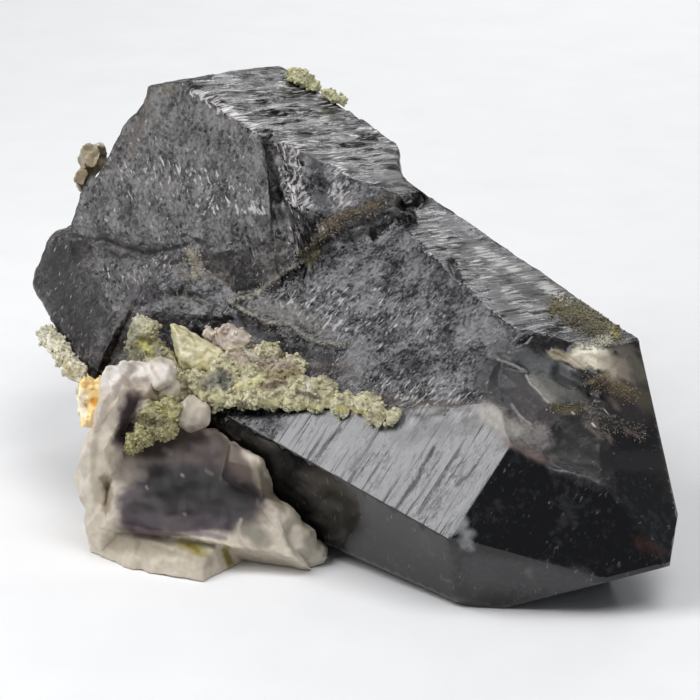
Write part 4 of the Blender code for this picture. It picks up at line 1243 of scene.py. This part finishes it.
# %% Make the side crystal
SIDE_GROUND = "#d3c9b8"
SIDE_STROKES = [
    # Cap and left limb.
    ("#f4eee8", 17, 0.95, [(110, 380), (125, 370), (165, 374)]),
    ("#b3a297", 6, 0.8, [(128, 384), (146, 380), (150, 392)]),
    ("#c9b9ae", 3, 0.7, [(150, 366), (158, 378)]),
    ("#a3968a", 6, 0.85, [(134, 366), (118, 386), (108, 405), (97, 430)]),
    ("#e2dacd", 9, 0.8, [(88, 450), (84, 480), (88, 505)]),
    ("#b9ad9c", 5, 0.7, [(96, 440), (92, 470), (98, 500)]),
    ("#83745f", 6, 0.8, [(104, 478), (110, 496), (106, 510)]),
    ("#5d4d50", 13, 0.9, [(132, 400), (127, 420), (121, 443)]),
    ("#352c33", 8, 1.0, [(131, 402), (127, 420), (121, 440)]),
    # Violet-brown heart, darkest in its lower half.
    ("#85786f", 34, 0.9, [(140, 470), (185, 455), (225, 475), (245, 510)]),
    ("#5d5150", 20, 1.0, [(150, 446), (185, 440), (208, 448), (232, 468)]),
    ("#594c44", 13, 0.9, [(225, 448), (244, 472), (258, 494)]),
    ("#54484c", 18, 1.0, [(130, 500), (128, 520), (150, 526)]),
    ("#2a2126", 36, 1.0, [(158, 484), (200, 486), (238, 502)]),
    ("#120d10", 28, 0.95, [(160, 486), (205, 488), (236, 498)]),
    ("#221a1f", 12, 1.0, [(138, 508), (185, 510), (228, 512)]),
    ("#3a2f37", 14, 0.9, [(130, 516), (170, 524), (225, 524)]),
    ("#7b6c72", 3.5, 0.7, [(136, 528), (165, 534), (200, 534), (226, 538)]),
    ("#a39c96", 5, 0.7, [(164, 450), (170, 454)]),
    ("#8f867c", 9, 0.6, [(122, 474), (140, 476)]),
    ("#a79d94", 2.2, 0.8, [(181, 474), (183, 476)]),
    ("#a79d94", 2.0, 0.8, [(146, 486), (147, 488)]),
    ("#978d86", 2.0, 0.7, [(184, 514), (186, 515)]),
    ("#8b817a", 3.0, 0.6, [(206, 470), (212, 474)]),
    ("#6a5b52", 12, 0.85, [(216, 436), (232, 456), (244, 474)]),
    ("#a89a90", 8, 0.7, [(196, 420), (206, 430)]),
    # Milky right side and its lobes.
    ("#8f8474", 9, 0.85, [(254, 466), (268, 490), (282, 510)]),
    ("#8d8778", 14, 0.85, [(250, 532), (262, 540)]),
    ("#b9afa0", 3, 0.8, [(240, 520), (238, 540), (250, 552)]),
    ("#cfc6b7", 10, 0.85, [(278, 518), (290, 536)]),
    ("#e0dacb", 13, 0.8, [(300, 550), (320, 560)]),
    # Flange with olive stains.
    ("#a89c88", 12, 0.7, [(110, 540), (170, 552), (205, 560)]),
    ("#8e8272", 5, 0.6, [(120, 532), (170, 542), (214, 546)]),
    ("#99915a", 9, 0.75, [(184, 544), (202, 552)]),
    ("#857326", 4, 0.8, [(190, 546), (198, 550)]),
    ("#8d8038", 6, 0.85, [(226, 550), (230, 562)]),
]
CAP_FOOT = 402
SIDE_ANGLE = 40
side = refined("side_crystal", *(((0.5, 1.1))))
down = in_view(places(side.verts))[1]
cap = [v for v, d in zip(side.verts, down) if d < CAP_FOOT]
body = list(set(side.verts) - set(cap))
rounded(side, 1, cap)
rounded(side, 6, body)
side_points = places(side.verts)
side_paint = painted(side, SIDE_STROKES, SIDE_GROUND)
milk = np.clip(side_paint[0][:, 1] * 2.2 - 0.3, 0, 1)
jagged = np.where(in_view(side_points)[1] < CAP_FOOT, 0.45, 0.2)
push(side, lumpy(side_points, 5, 2, 2) * 0.40 + lumpy(side_points, 1.6, 5, 2) * jagged * milk)
milky = mineral_finish(
    "milky_smoky_quartz",
    SIDE_GROUND,
    light=0.14,
    grain=1.1,
    roughness=0.42,
    scatter=0.4,
    bump=0.12,
    tilt=0.0,
    clear=0.2,
    ragged=0.5,
    shine=0.25,
)
finished(
    side,
    "side_crystal_finished",
    ["side_crystal"],
    [milky],
    SIDE_ANGLE,
    side_paint,
)
